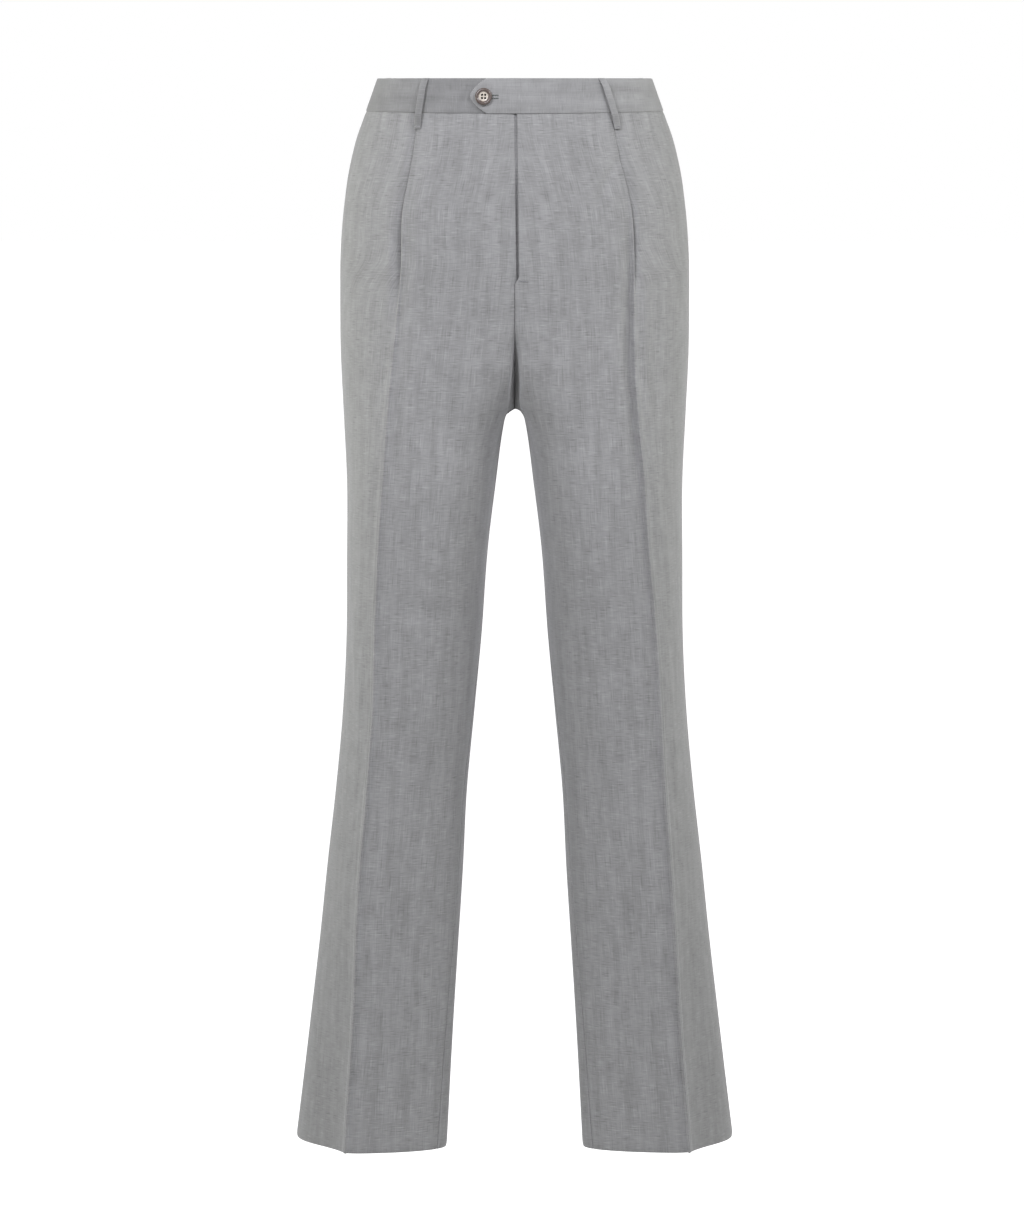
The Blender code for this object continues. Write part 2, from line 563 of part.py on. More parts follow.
def button(material, home, cutters):
    """A dished four-hole button, turned on its own axis and laid on the tab."""
    profile = (
        (BUTTON_RADIUS - 1.6, 0.0),
        (BUTTON_RADIUS - 0.3, 0.9),
        (BUTTON_RADIUS, 1.9),
        (BUTTON_RADIUS - 0.7, BUTTON_HEIGHT - 0.3),
        (BUTTON_RADIUS - 1.8, BUTTON_HEIGHT),
        (BUTTON_WELL + 0.5, BUTTON_HEIGHT - 0.5),
        (BUTTON_WELL - 0.6, BUTTON_HEIGHT - 1.2),
    )
    mesh = bpy.data.meshes.new("button")
    verts = [(0.0, 0.0, BUTTON_HEIGHT - 1.4)]
    verts += [(r, 0.0, h) for r, h in reversed(profile)]
    verts += [(0.0, 0.0, 0.0)]
    edges = [(i, i + 1) for i in range(len(verts) - 1)]
    mesh.from_pydata([tuple(c * MM for c in v) for v in verts], edges, [])
    mesh.materials.append(material)
    piece = bpy.data.objects.new("button", mesh)
    home.objects.link(piece)
    turn = piece.modifiers.new("turn", "SCREW")
    turn.axis = "Z"
    turn.steps = 28
    turn.render_steps = 28
    turn.use_merge_vertices = True
    turn.merge_threshold = 0.00005
    turn.use_normal_calculate = True

    holes = bpy.data.meshes.new("button_holes")
    shape = bmesh.new()
    for x in (-BUTTON_HOLE_PITCH, BUTTON_HOLE_PITCH):
        for y in (-BUTTON_HOLE_PITCH, BUTTON_HOLE_PITCH):
            bmesh.ops.create_cone(shape, cap_ends=True, segments=10, radius1=BUTTON_HOLE * MM,
                                  radius2=BUTTON_HOLE * MM, depth=4 * BUTTON_HEIGHT * MM,
                                  matrix=Matrix.Translation((x * MM, y * MM, 0.0)))
    shape.to_mesh(holes)
    shape.free()
    cutter = bpy.data.objects.new("button_holes", holes)
    cutter.hide_render = True
    cutter.display_type = "WIRE"
    cutters.objects.link(cutter)
    cut = piece.modifiers.new("holes", "BOOLEAN")
    cut.operation = "DIFFERENCE"
    cut.object = cutter

    run = np.array([BUTTON_FROM_TIP - TAB_TIP])
    sink = -(BAND_PROUD + TAB_LIFT)
    height = np.array([BUTTON_Z])
    here = band_point(np.zeros(1), run, height, np.array([sink]))[0]
    beside = band_point(np.zeros(1), run + 5.0, height, np.array([sink]))[0]
    above = band_point(np.zeros(1), run, height + 5.0, np.array([sink]))[0]
    right = Vector(beside - here).normalized()
    up = Vector(above - here).normalized()
    out = right.cross(up).normalized()
    up = out.cross(right)
    turned = Matrix((right, up, out)).transposed().to_4x4()
    seat = Vector(here) + out * SEAM_GAP
    for thing in (piece, cutter):
        thing.matrix_world = Matrix.Translation(seat * MM) @ turned
    return piece


def finish(name, colour, roughness):
    material = bpy.data.materials.new(name)
    material.use_nodes = True
    shader = material.node_tree.nodes["Principled BSDF"]
    shader.inputs["Base Color"].default_value = (*colour, 1.0)
    shader.inputs["Roughness"].default_value = roughness
    shader.inputs["Metallic"].default_value = 0.0
    material.diffuse_color = (*colour, 1.0)
    return material


def build():
    for thing in list(bpy.data.objects):
        bpy.data.objects.remove(thing, do_unlink=True)
    home = bpy.data.collections.new("pleated_dress_trousers")
    cutters = bpy.data.collections.new("cutters")
    for group in (home, cutters):
        bpy.context.scene.collection.children.link(group)

    wool = finish("grey_wool", (0.33, 0.33, 0.34), 0.85)
    band_wool = finish("grey_wool_band", (0.33, 0.33, 0.34), 0.85)
    horn = finish("horn_button", (0.24, 0.19, 0.16), 0.35)

    for side, hand in ((1, "left"), (-1, "right")):
        cloth_piece("front_" + hand, front_panel(side), CLOTH, side, wool, home)
        cloth_piece("back_" + hand, back_panel(), CLOTH, side, wool, home)
        cloth_piece("waistband_" + hand, waistband(side), BAND, side, band_wool, home)
    cloth_piece("fly_shield", fly_shield(), CLOTH, 1, wool, home)
    for name, side, station, top_run, foot_run in LOOPS:
        points = belt_loop(station, top_run, foot_run)
        cloth_piece(name, points, LOOP, side, band_wool, home)
    button(horn, home, cutters)


build()
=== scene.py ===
# %% [markdown]
# # Pleated dress trousers, held open as they are worn
#
# Dress trousers are cut from flat cloth: two fronts with a pleat each, two backs, a waistband in
# two halves, a strip behind the fly and five belt loops.  Here every piece is a surface of its
# own, worked out as a grid of points with numpy, so that a crease, a fold or a seam is a number
# that can be read and changed.
#
# The frame holds the plain solids of the same pieces.  Each surface below follows its solid and
# takes its place in the picture, while the solid stays for collision, hidden.

# %% Load the frame
import math

import bmesh
import bpy
import numpy as np
from mathutils import Matrix, Vector


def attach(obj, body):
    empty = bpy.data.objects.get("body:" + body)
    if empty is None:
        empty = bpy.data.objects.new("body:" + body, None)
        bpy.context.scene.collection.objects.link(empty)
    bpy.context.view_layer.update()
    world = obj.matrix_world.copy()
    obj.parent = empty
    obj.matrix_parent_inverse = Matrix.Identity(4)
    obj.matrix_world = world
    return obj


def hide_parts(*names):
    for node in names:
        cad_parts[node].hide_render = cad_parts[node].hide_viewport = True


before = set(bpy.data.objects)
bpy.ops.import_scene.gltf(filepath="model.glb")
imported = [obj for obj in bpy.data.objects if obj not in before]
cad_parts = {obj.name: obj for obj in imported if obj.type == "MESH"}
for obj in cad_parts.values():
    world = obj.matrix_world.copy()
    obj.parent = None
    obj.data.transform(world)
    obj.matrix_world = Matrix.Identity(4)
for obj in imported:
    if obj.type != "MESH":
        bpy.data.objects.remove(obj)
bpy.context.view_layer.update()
BODY = "root"
MM = 0.001

# %% [markdown]
# ## The section tables
#
# A tailor's dummy can be described by slices.  Half a slice of the trousers runs round one leg
# through five corners: the centre front (or the inseam), the pressed front crease, the side seam,
# the rear crease and the centre back (or the inseam again).  A few slices are written down, in
# millimetres, and a smooth curve through them gives every height between.  Beside each corner's
# place stand the cloth's heading there, its lean, and how sharply it turns, in degrees.

# %% Slices of the trousers
SECTION_COLUMNS = (
    "z", "side_x", "side_y",
    "crease_x", "crease_y", "crease_lean", "crease_turn",
    "rear_x", "rear_y", "rear_lean", "rear_turn",
)
SECTIONS = (
    (17.5, 142.2, 0.0, 94.0, -81.4, 31.0, 0.0, 60.0, 88.7, 15.0, 0.0),
    (-17.0, 153.8, 1.0, 98.5, -86.5, 28.5, 0.0, 64.0, 95.4, 15.0, 0.0),
    (-45.0, 164.2, 2.0, 102.0, -91.0, 27.0, 0.0, 68.0, 101.5, 15.0, 0.0),
    (-75.0, 171.6, 3.0, 108.0, -92.5, 27.0, 0.0, 71.0, 107.5, 15.0, 0.0),
    (-110.0, 176.7, 4.0, 116.0, -92.5, 28.0, 0.0, 73.0, 114.0, 15.0, 0.0),
    (-160.0, 180.8, 5.0, 120.0, -93.0, 28.5, 0.0, 75.0, 119.0, 15.0, 0.0),
    (-210.0, 181.4, 5.0, 122.0, -92.5, 29.0, 3.0, 75.0, 120.5, 14.0, 0.0),
    (-260.0, 181.0, 4.0, 124.5, -96.0, 30.0, 6.0, 71.0, 119.0, 4.0, 2.0),
    (-326.0, 178.0, 2.0, 129.0, -103.0, 31.0, 9.0, 62.0, 109.0, -18.0, 5.0),
    (-400.0, 174.6, 0.0, 133.5, -108.0, 32.0, 13.0, 59.5, 98.0, -28.0, 11.0),
    (-480.0, 174.8, -4.0, 139.0, -107.0, 33.0, 17.0, 63.5, 84.0, -31.0, 16.0),
    (-560.0, 175.5, -5.0, 144.5, -103.0, 33.5, 21.0, 66.0, 73.0, -33.0, 20.0),
    (-640.0, 179.8, 0.0, 148.5, -99.0, 34.0, 24.0, 74.0, 69.0, -34.0, 24.0),
    (-720.0, 187.3, 4.0, 154.0, -95.0, 34.0, 27.0, 83.0, 68.0, -35.0, 27.0),
    (-800.0, 196.5, 8.0, 160.0, -92.0, 34.5, 30.0, 90.0, 68.0, -35.0, 30.0),
    (-880.0, 205.0, 13.0, 165.0, -89.0, 34.5, 32.0, 98.5, 68.0, -35.0, 32.0),
    (-960.0, 214.5, 17.0, 169.5, -86.0, 35.0, 33.0, 108.5, 67.5, -35.0, 33.0),
    (-1030.0, 223.0, 21.0, 175.0, -82.5, 35.0, 34.0, 115.0, 67.0, -35.0, 34.0),
    (-1094.0, 231.0, 24.0, 180.0, -80.0, 35.0, 35.0, 120.0, 67.0, -35.0, 35.0),
)
LEFT, RIGHT = 1, -1
HAND_NAMES = {LEFT: "left", RIGHT: "right"}
CENTRE, CREASE, SIDE, REAR, END = 0, 1, 2, 3, 4
print("slices:", len(SECTIONS), "from", SECTIONS[0][0], "down to", SECTIONS[-1][0], "mm")

# %% [markdown]
# ## Centre seams and inseams
#
# Down to the fork the two legs share a centre seam in front and one behind.  Below it each leg
# closes on itself with an inseam, which does not lie quite at the leg's innermost point but a
# little forward of it.  These tables say how far out the broad cloth beside a centre seam points,
# how deep front and back lie, and where each leg's inner side is.

# %% Centre seams and inseams
CENTRE_COLUMNS = ("z", "front_out", "front_y", "back_out", "back_y")
CENTRES = (
    (17.5, 30.0, -104.0, 16.0, 96.0),
    (-17.0, 31.5, -108.5, 17.5, 103.0),
    (-60.0, 35.0, -114.0, 19.0, 113.0),
    (-110.0, 39.0, -117.0, 21.0, 123.0),
    (-160.0, 41.0, -117.5, 22.0, 128.5),
    (-200.0, 40.0, -116.5, 21.5, 130.0),
    (-225.0, 38.0, -115.0, 18.0, 128.0),
    (-260.0, 30.0, -112.0, 10.0, 116.0),
    (-290.0, 21.0, -109.0, 4.0, 96.0),
    (-322.0, 11.0, -106.0, 1.0, 70.0),
    (-345.0, 6.0, -103.0, 0.0, 55.0),
    (-400.0, 1.0, -96.0, 0.0, 35.0),
    (-460.0, 0.0, -88.0, 0.0, 27.0),
    (-560.0, 0.0, -77.0, 0.0, 17.0),
    (-640.0, 0.0, -73.0, 0.0, 13.0),
    (-800.0, 0.0, -69.0, 0.0, 10.0),
    (-960.0, 0.0, -66.0, 0.0, 8.0),
    (-1094.0, 0.0, -64.0, 0.0, 8.0),
)
INSEAM_COLUMNS = ("z", "inner_x", "inner_y", "seam_forward")
INSEAM = (
    (-322.0, 8.0, -10.0, 0.0),
    (-345.0, 12.3, -12.0, 0.0),
    (-400.0, 19.6, -17.0, 1.5),
    (-460.0, 27.0, -20.0, 5.0),
    (-560.0, 34.6, -25.0, 12.0),
    (-640.0, 42.2, -28.0, 16.0),
    (-720.0, 49.7, -30.0, 18.0),
    (-800.0, 53.7, -32.0, 19.0),
    (-880.0, 58.8, -33.0, 20.0),
    (-960.0, 63.8, -35.0, 21.0),
    (-1094.0, 71.0, -37.0, 22.0),
)
print("leg's inner side at the hem:", INSEAM[-1][1], "mm from the centre")

# %% [markdown]
# ## The slot between the thighs
#
# Above the fork the thighs almost touch, and between them the cloth makes a narrow dark slot
# that opens downwards.  It is what tells the eye that there are two legs, so its two walls have
# a table of their own: how far each thigh keeps from the centre, and how much the cloth beside
# the slot is rounded back.

# %% The slot
SLOT_COLUMNS = ("z", "right", "left", "shoulder")
SLOT = (
    (17.5, 0.0, 0.0, 0.0),
    (-205.0, 0.0, 0.0, 0.0),
    (-228.0, 0.0, 0.0, 3.0),
    (-242.0, 0.0, 0.9, 5.5),
    (-251.0, 0.3, 1.8, 7.0),
    (-266.0, 1.4, 3.6, 8.0),
    (-286.0, 2.6, 4.6, 6.0),
    (-301.0, 3.8, 4.0, 4.0),
    (-310.0, 4.8, 3.6, 3.0),
    (-317.0, 5.6, 5.0, 1.5),
    (-323.0, 7.8, 7.6, 0.8),
    (-328.0, 9.9, 9.9, 0.0),
    (-338.0, 11.8, 11.8, 0.0),
    (-349.0, 13.4, 13.4, 0.0),
    (-400.0, 19.6, 19.6, 0.0),
    (-1094.0, 71.0, 71.0, 0.0),
)
print("heights in the slot's table:", len(SLOT))

# %% [markdown]
# ## How the creases wander
#
# The crease of one worn leg never falls quite like the other's.  This table moves each a few
# millimetres along the front, away from the garment's middle where the number is positive.

# %% The creases' own way
CREASE_SHIFT_COLUMNS = ("z", "right", "left")
CREASE_SHIFTS = (
    (17.5, 0.0, 0.0),
    (-17.0, 0.0, 0.0),
    (-84.0, -1.8, 2.3),
    (-119.0, -3.2, 2.0),
    (-148.0, -4.8, 1.7),
    (-168.0, -5.8, 1.5),
    (-188.0, -4.4, 0.8),
    (-236.0, -1.8, -1.2),
    (-257.0, -0.7, -2.0),
    (-300.0, 0.6, -3.2),
    (-328.0, 1.0, -2.8),
    (-388.0, 1.6, -0.8),
    (-430.0, 2.2, -0.9),
    (-533.0, 0.2, 1.0),
    (-616.0, -2.0, 2.0),
    (-700.0, -1.2, 1.5),
    (-823.0, 0.0, 1.5),
    (-927.0, -1.3, 2.0),
    (-1094.0, -3.2, 2.4),
)
print("widest shift:", max(abs(v) for row in CREASE_SHIFTS for v in row[1:]), "mm")

# %% [markdown]
# ## Heights that divide the garment
#
# Height 0 is the middle of the waistband.  The seams are named here once, and everything else
# is placed from them.  The waist seam of a real pair rises a little towards the sides.

# %% Named heights
WAIST_TOP = 17.5
WAIST_SEAM = -17.0
SIDE_SEAM_RISE = 2.2        # how much higher the waist seam is at the side than in front
RISE_FADES_AT = -60.0       # from here up the cloth follows that rise
BACK_RISE_TURNS = -180.0    # where the back seam starts to turn under
FRONT_RISE_TURNS = -225.0   # where the front's broad cloth starts to draw back
FRONT_SEAM_DIVES = -236.0   # where the front seam itself turns under
FORK = -322.0
FORK_DEPTH = -10.0          # the fork's place from front to back
ARCH = 12.0                 # how far below the fork the two inseams part in a round arch
BROAD_LAG = 45.0            # how much lower the broad cloth starts to follow its seam
BROAD_SETTLES = -400.0      # from here down it lies on the inseam
HEM = -1094.0
SEAM_GAP = 0.3              # between pieces that meet
print("outseam about", round(WAIST_TOP - HEM), "mm, inside leg about", round(FORK - HEM), "mm")

# %% [markdown]
# ## Reading a table
#
# A table has a row for each height and a named column for each measure.  Straight lines between
# the rows would show as bends in the cloth, so most columns are read along smooth cubics.  All
# heights of a piece are read in one call.

# %% Reading a table
def column(rows, names, name):
    """One named column of a table, as an array."""
    return np.array([row[names.index(name)] for row in rows], dtype=float)


def smooth_column(rows, names, name, z):
    """A table's column at heights z: between two rows, the cubic that keeps both their slopes."""
    heights = -column(rows, names, "z")
    values = column(rows, names, name)
    gaps = np.diff(heights)
    slopes = np.diff(values) / gaps
    bends = np.empty_like(values)
    bends[1:-1] = (slopes[:-1] * gaps[1:] + slopes[1:] * gaps[:-1]) / (gaps[1:] + gaps[:-1])
    bends[0] = slopes[0]
    bends[-1] = slopes[-1]
    at = -np.asarray(z, dtype=float)
    low = np.clip(np.searchsorted(heights, at) - 1, 0, len(gaps) - 1)
    t = (at - heights[low]) / gaps[low]
    h00 = 2 * t**3 - 3 * t**2 + 1
    h10 = t**3 - 2 * t**2 + t
    h01 = 3 * t**2 - 2 * t**3
    h11 = t**3 - t**2
    return (h00 * values[low] + h10 * gaps[low] * bends[low]
            + h01 * values[low + 1] + h11 * gaps[low] * bends[low + 1])


def straight_column(rows, names, name, z):
    """A table's column at heights z, straight between its rows."""
    return np.interp(-z, -column(rows, names, "z"), column(rows, names, name))


def section_value(name, z):
    """A measure of the slices at heights z."""
    return smooth_column(SECTIONS, SECTION_COLUMNS, name, z)


def ease(t):
    """A soft step: 3 t squared minus 2 t cubed, from 0 to 1 while t goes from 0 to 1."""
    t = np.clip(t, 0.0, 1.0)
    return t * t * (3.0 - 2.0 * t)


def pair(x, y):
    """Two arrays as one array of points."""
    return np.stack([x, y], axis=-1)


print("half width at the hip:", float(section_value("side_x", -160.0)), "mm")

# %% [markdown]
# ## Cubic arcs
#
# Each quarter of a slice is a cubic arc between two corners, as in a drawing program: two ends
# and two handles.  A handle's heading says which way the cloth leaves a corner, and its length
# how full the curve is.

# %% Cubic arcs
ARC_STEPS = 120
ARC_WAY = np.linspace(0.0, 1.0, ARC_STEPS + 1)
FROM_SEAM = ARC_WAY ** 2
TO_SEAM = 1.0 - FROM_SEAM[::-1]


def arc(start, first, second, end, way=ARC_WAY):
    """Cubic arcs, one a row: each point is the four points' mean, weighted by Bernstein's shares."""
    t = way[None, :, None]
    return ((1 - t) ** 3 * start[:, None] + 3 * t * (1 - t) ** 2 * first[:, None]
            + 3 * t**2 * (1 - t) * second[:, None] + t**3 * end[:, None])


def ahead(point, heading, towards, share):
    """A handle that leaves a point on a heading, its length a share of the way to another point.

    The share is one number, or one a row.
    """
    reach = share * np.linalg.norm(towards - point, axis=1, keepdims=True)
    return point + reach * pair(np.cos(heading), np.sin(heading))


print("points on each arc:", ARC_STEPS + 1, "closest together beside a seam")

# %% [markdown]
# ## Into the fork
#
# Where the seat turns under, the centre seam runs from the front or the back of the body to the
# fork between the legs.  The back does so in a deep round curve, the front late and softly.
# Each end of a slice therefore has two places: the seam itself, and the broad cloth beside it,
# which follows slowly and only settles on the inseam some way below the fork.

# %% The seam's end of a slice
def slot_column(name, z):
    """A measure of the slot at heights z."""
    return straight_column(SLOT, SLOT_COLUMNS, name, z)


def seam_end(z, turns_at, name, hand):
    """A slice's end: where its seam is, where the broad cloth beside it is, and its handle.

    The back seam dives to the fork on a quarter of an ellipse, one less the root of one less the
    way squared, and the front one by a soft step, between thighs that almost touch.
    """
    centre = smooth_column(CENTRES, CENTRE_COLUMNS, name + "_y", z)
    out = smooth_column(CENTRES, CENTRE_COLUMNS, name + "_out", z)
    inner_x = smooth_column(INSEAM, INSEAM_COLUMNS, "inner_x", np.minimum(z, FORK))
    inner_y = smooth_column(INSEAM, INSEAM_COLUMNS, "inner_y", np.minimum(z, FORK))
    handle_x = inner_x
    down = np.clip((turns_at - z) / (turns_at - FORK), 0.0, 1.0)
    dived = 1.0 - np.sqrt(1.0 - down**2)
    if name == "front":
        dived = ease((FRONT_SEAM_DIVES - z) / (FRONT_SEAM_DIVES - FORK))
    arch = np.clip((FORK - z) / ARCH, 0.0, 1.0)
    opened = np.sqrt(1.0 - (1.0 - arch) ** 2)
    x = np.where(z < FORK, inner_x * opened, 0.0)
    y = np.where(z < FORK, inner_y, centre + (FORK_DEPTH - centre) * dived)
    settled = ease((turns_at - BROAD_LAG - z) / (turns_at - BROAD_LAG - BROAD_SETTLES))
    slot = slot_column(HAND_NAMES[hand], z)
    inner_x = np.where(z < FORK, inner_x, 0.0)
    seam = pair(x + SEAM_GAP / 2, y)
    broad = pair(np.where(z < BROAD_SETTLES, inner_x, slot) + SEAM_GAP / 2,
                 centre + (inner_y - centre) * settled)
    return seam, broad, pair(handle_x + out, centre)


print("fork at", FORK, "mm, front seam turns in from", FRONT_SEAM_DIVES, "mm")

# %% [markdown]
# ## Half a slice
#
# Four arcs, set end to end, make half a slice.  A pressed leg is not an ellipse: its inner front
# is almost flat at the thigh, so the handle before the crease is longer there.  Beside a seam
# the cloth is drawn in by a high power of the way from it, so that only a narrow strip dives
# into the fork and the broad cloth stays where it is.

# %% Half a slice
HANDLE = 0.4
HANDLE_TO_HANDLE = 0.5
SQUARE_COLUMNS = ("z", "reach")
SQUARE = ((-330.0, 0.5), (-390.0, 0.74), (-480.0, 0.76), (-560.0, 0.66), (-700.0, 0.5))
FRONT_PULL = 140
SHOULDER_PULL = 12
BACK_PULL = 14


def half_section(z, hand):
    """Points of half a slice at each height: rows x samples x 2.

    Four arcs meet at the corners.  To the first and the last is added the step from broad cloth
    to seam, times a high power of the way that is left to the crease.
    """
    shift = smooth_column(CREASE_SHIFTS, CREASE_SHIFT_COLUMNS, HAND_NAMES[hand], z)
    lean = np.radians(section_value("crease_lean", z))
    turn = np.radians(np.maximum(section_value("crease_turn", z), 0.0))
    rear_lean = np.radians(section_value("rear_lean", z))
    rear_turn = np.radians(np.maximum(section_value("rear_turn", z), 0.0))
    side = pair(section_value("side_x", z), section_value("side_y", z))
    crease = pair(section_value("crease_x", z) + shift,
                  section_value("crease_y", z) + shift * np.tan(lean))
    rear = pair(section_value("rear_x", z), section_value("rear_y", z))
    front_seam, front_broad, front_handle = seam_end(z, FRONT_RISE_TURNS, "front", hand)
    back_seam, back_broad, back_handle = seam_end(z, BACK_RISE_TURNS, "back", hand)
    backwards = np.full_like(z, math.pi / 2)
    square = straight_column(SQUARE, SQUARE_COLUMNS, "reach", z)
    before_crease = ahead(crease, lean - turn + math.pi, front_handle, square[:, None])
    after_crease = ahead(crease, lean + turn, side, HANDLE)
    before_side = ahead(side, -backwards, crease, HANDLE)
    after_side = ahead(side, backwards, rear, HANDLE)
    before_rear = ahead(rear, -rear_lean - rear_turn, side, HANDLE)
    after_rear = ahead(rear, math.pi - rear_lean + rear_turn, back_handle, HANDLE_TO_HANDLE)
    front_pull = (1.0 - FROM_SEAM[None, :, None]) ** FRONT_PULL
    rounding = (1.0 - FROM_SEAM[None, :, None]) ** SHOULDER_PULL
    shoulder = slot_column("shoulder", z)[:, None, None] * np.array([0.0, 1.0])
    back_pull = TO_SEAM[None, :, None] ** BACK_PULL
    arcs = (
        arc(front_broad, front_handle, before_crease, crease, FROM_SEAM)
        + (front_seam - front_broad)[:, None] * front_pull + shoulder * rounding,
        arc(crease, after_crease, before_side, side),
        arc(side, after_side, before_rear, rear),
        arc(rear, after_rear, back_handle, back_broad, TO_SEAM)
        + (back_seam - back_broad)[:, None] * back_pull,
    )
    return np.concatenate([arcs[0]] + [part[:, 1:] for part in arcs[1:]], axis=1)


print("points on half a slice:", half_section(np.array([HEM]), LEFT).shape[1])

# %% [markdown]
# ## Tape readings
#
# The distance along a slice is what a tape measure would give.  Its readings at the five corners
# are the cutter's marks: every piece below begins and ends at one of them.

# %% Tape readings
def corner_lengths(z, hand):
    """Tape readings of the five corners, from the centre front: rows x 5."""
    steps = np.linalg.norm(np.diff(half_section(z, hand), axis=1), axis=2)
    arcs = steps.reshape(len(z), 4, ARC_STEPS).sum(axis=2)
    return np.concatenate([np.zeros((len(z), 1)), np.cumsum(arcs, axis=1)], axis=1)


probe = corner_lengths(np.array([WAIST_SEAM, FORK, HEM]), LEFT)
half_waist, *leg_rounds = probe[:, END].round().tolist()
print("round half the waist seam:", half_waist, "mm, round a leg at fork and hem:", leg_rounds, "mm")

# %% [markdown]
# ## The skin
#
# A piece can now be laid out in the way a cutter thinks: so many millimetres along the cloth, at
# such a height.  The skin function finds that place and moves it in or out along the slice's
# normal, which is how folds, seams and thickness are made.  A piece may run a little past the
# centre, as a lap does, so half a slice first gets its neighbours.

# %% The skin
ROW_APART = 10000.0


def wall_length(z, turns_at, name, hand):
    """How far the cloth dives between its broad part and the seam, as a column."""
    seam, broad, _ = seam_end(z, turns_at, name, hand)
    return np.linalg.norm(seam - broad, axis=1)[:, None]


def with_neighbours(z, points):
    """Half a slice with one more arc at each end: the other half's, or the same ring's in a leg."""
    other_half = points * np.array([-1.0, 1.0])
    in_leg = (z < FORK)[:, None, None]
    before = np.where(in_leg, points[:, -ARC_STEPS - 1:-1], other_half[:, ARC_STEPS:0:-1])
    after = np.where(in_leg, points[:, 1:ARC_STEPS + 1], other_half[:, -2:-ARC_STEPS - 2:-1])
    return np.concatenate([before, points, after], axis=1)


def skin(z, tape, sink, hand):
    """Points at heights z and tape readings, moved in along the section's normal by sink.

    z has one value a row; tape and sink are rows x columns.  The rows are set one after another
    on one long tape, so that a single interpolation serves them all.
    """
    z = np.asarray(z, dtype=float)
    points = with_neighbours(z, half_section(z, hand))
    steps = np.linalg.norm(np.diff(points, axis=1), axis=2)
    length = np.concatenate([np.zeros((len(z), 1)), np.cumsum(steps, axis=1)], axis=1)
    at = np.clip(tape + length[:, ARC_STEPS:ARC_STEPS + 1], 0.0, length[:, -1:])
    ways = np.gradient(points, axis=1)
    apart = ROW_APART * np.arange(len(z))[:, None]
    line = (length + apart).ravel()
    x, y, way_x, way_y = (
        np.interp(at + apart, line, values.ravel())
        for values in (points[..., 0], points[..., 1], ways[..., 0], ways[..., 1]))
    size = np.hypot(way_x, way_y)
    high = np.broadcast_to(z[:, None], x.shape)
    placed = np.stack([x - sink * way_y / size, y + sink * way_x / size, high], axis=-1)
    return placed * np.array([hand, 1.0, 1.0])


mark = skin(np.array([WAIST_SEAM]), np.array([[100.0]]), np.array([[0.0]]), LEFT)[0, 0]
print("100 mm of tape from the centre front, at the waist seam:", mark.round(1).tolist())

# %% [markdown]
# ## Meshes from grids
#
# Each piece is one mesh in metres, placed by its points, while its object stays at the origin.
# from_pydata takes whole arrays, so no loop over points is needed.  The piece also gets its own
# map, one pair of values for each point, which the weave will follow.

# %% Pieces
home = bpy.data.collections.new("trousers")
bpy.context.scene.collection.children.link(home)
CLOTH_MAP = "cloth"


def add_map(mesh, values):
    """Give a mesh its cloth map from one pair of values a vertex, in metres."""
    layer = mesh.uv_layers.new(name=CLOTH_MAP)
    corner = np.empty(len(mesh.loops), dtype=np.int32)
    mesh.loops.foreach_get("vertex_index", corner)
    layer.data.foreach_set("uv", values.reshape(-1, 2)[corner].astype(np.float32).ravel())


def link_piece(name, mesh):
    """An object at the origin for a mesh, in the garment's collection and on its body."""
    piece = bpy.data.objects.new(name, mesh)
    home.objects.link(piece)
    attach(piece, BODY)
    return piece


def plain_mesh(name, points, faces):
    """A bare mesh, in the units of its points."""
    mesh = bpy.data.meshes.new(name)
    mesh.from_pydata(points.reshape(-1, 3), [], faces)
    return mesh


def add_piece(name, points, faces, values, material):
    """A smooth piece from points in mm and its map in mm."""
    mesh = plain_mesh(name, points * MM, faces)
    mesh.materials.append(material)
    add_map(mesh, values * MM)
    mesh.shade_smooth()
    return link_piece(name, mesh)


print("collection:", home.name)

# %% [markdown]
# ## Faces of a grid
#
# A grid of points becomes a surface by joining each point with its neighbours in the next row
# and column.  A closed strip is a grid too: its last row joins the first, and each end gets a
# cap.  Which way round the corners run says which side is the outside.

# %% Grids
def grid_faces(rows, columns, flip, around=False):
    """Quads between the neighbours of a grid; around joins the last row to the first."""
    index = np.arange(rows * columns).reshape(rows, columns)
    if around:
        index = np.concatenate([index, index[:1]])
    quads = np.stack([index[:-1, :-1], index[1:, :-1], index[1:, 1:], index[:-1, 1:]], axis=-1)
    quads = quads.reshape(-1, 4)
    return quads[:, ::-1] if flip else quads


def tube_piece(name, rings, values, flip, material):
    """A closed strip from rings: around x along x 3, with a flat cap at each end."""
    around, along = rings.shape[:2]
    faces = grid_faces(around, along, flip, around=True).tolist()
    first = (np.arange(around) * along).tolist()
    last = (np.arange(around) * along + along - 1).tolist()
    faces += [first[::-1], last] if flip else [first, last[::-1]]
    return add_piece(name, rings, faces, values, material)


print("a grid of 3 x 4 points has", len(grid_faces(3, 4, False)), "faces")

# %% [markdown]
# ## Faces that point outwards
#
# A closed part that was made by turning or sweeping may have doubled points at its poles and
# faces that look inwards, which shade black.  Its doubles are merged first and its faces turned
# after that.

# %% Welding
WELD = 1e-4


def welded(mesh, distance=WELD):
    """Merge points that lie closer than the distance, then make the faces point outwards."""
    shape = bmesh.new()
    shape.from_mesh(mesh)
    if distance:
        bmesh.ops.remove_doubles(shape, verts=shape.verts, dist=distance)
    bmesh.ops.recalc_face_normals(shape, faces=shape.faces)
    shape.to_mesh(mesh)
    shape.free()
    return mesh


print("doubles closer than", WELD, "mm are merged")
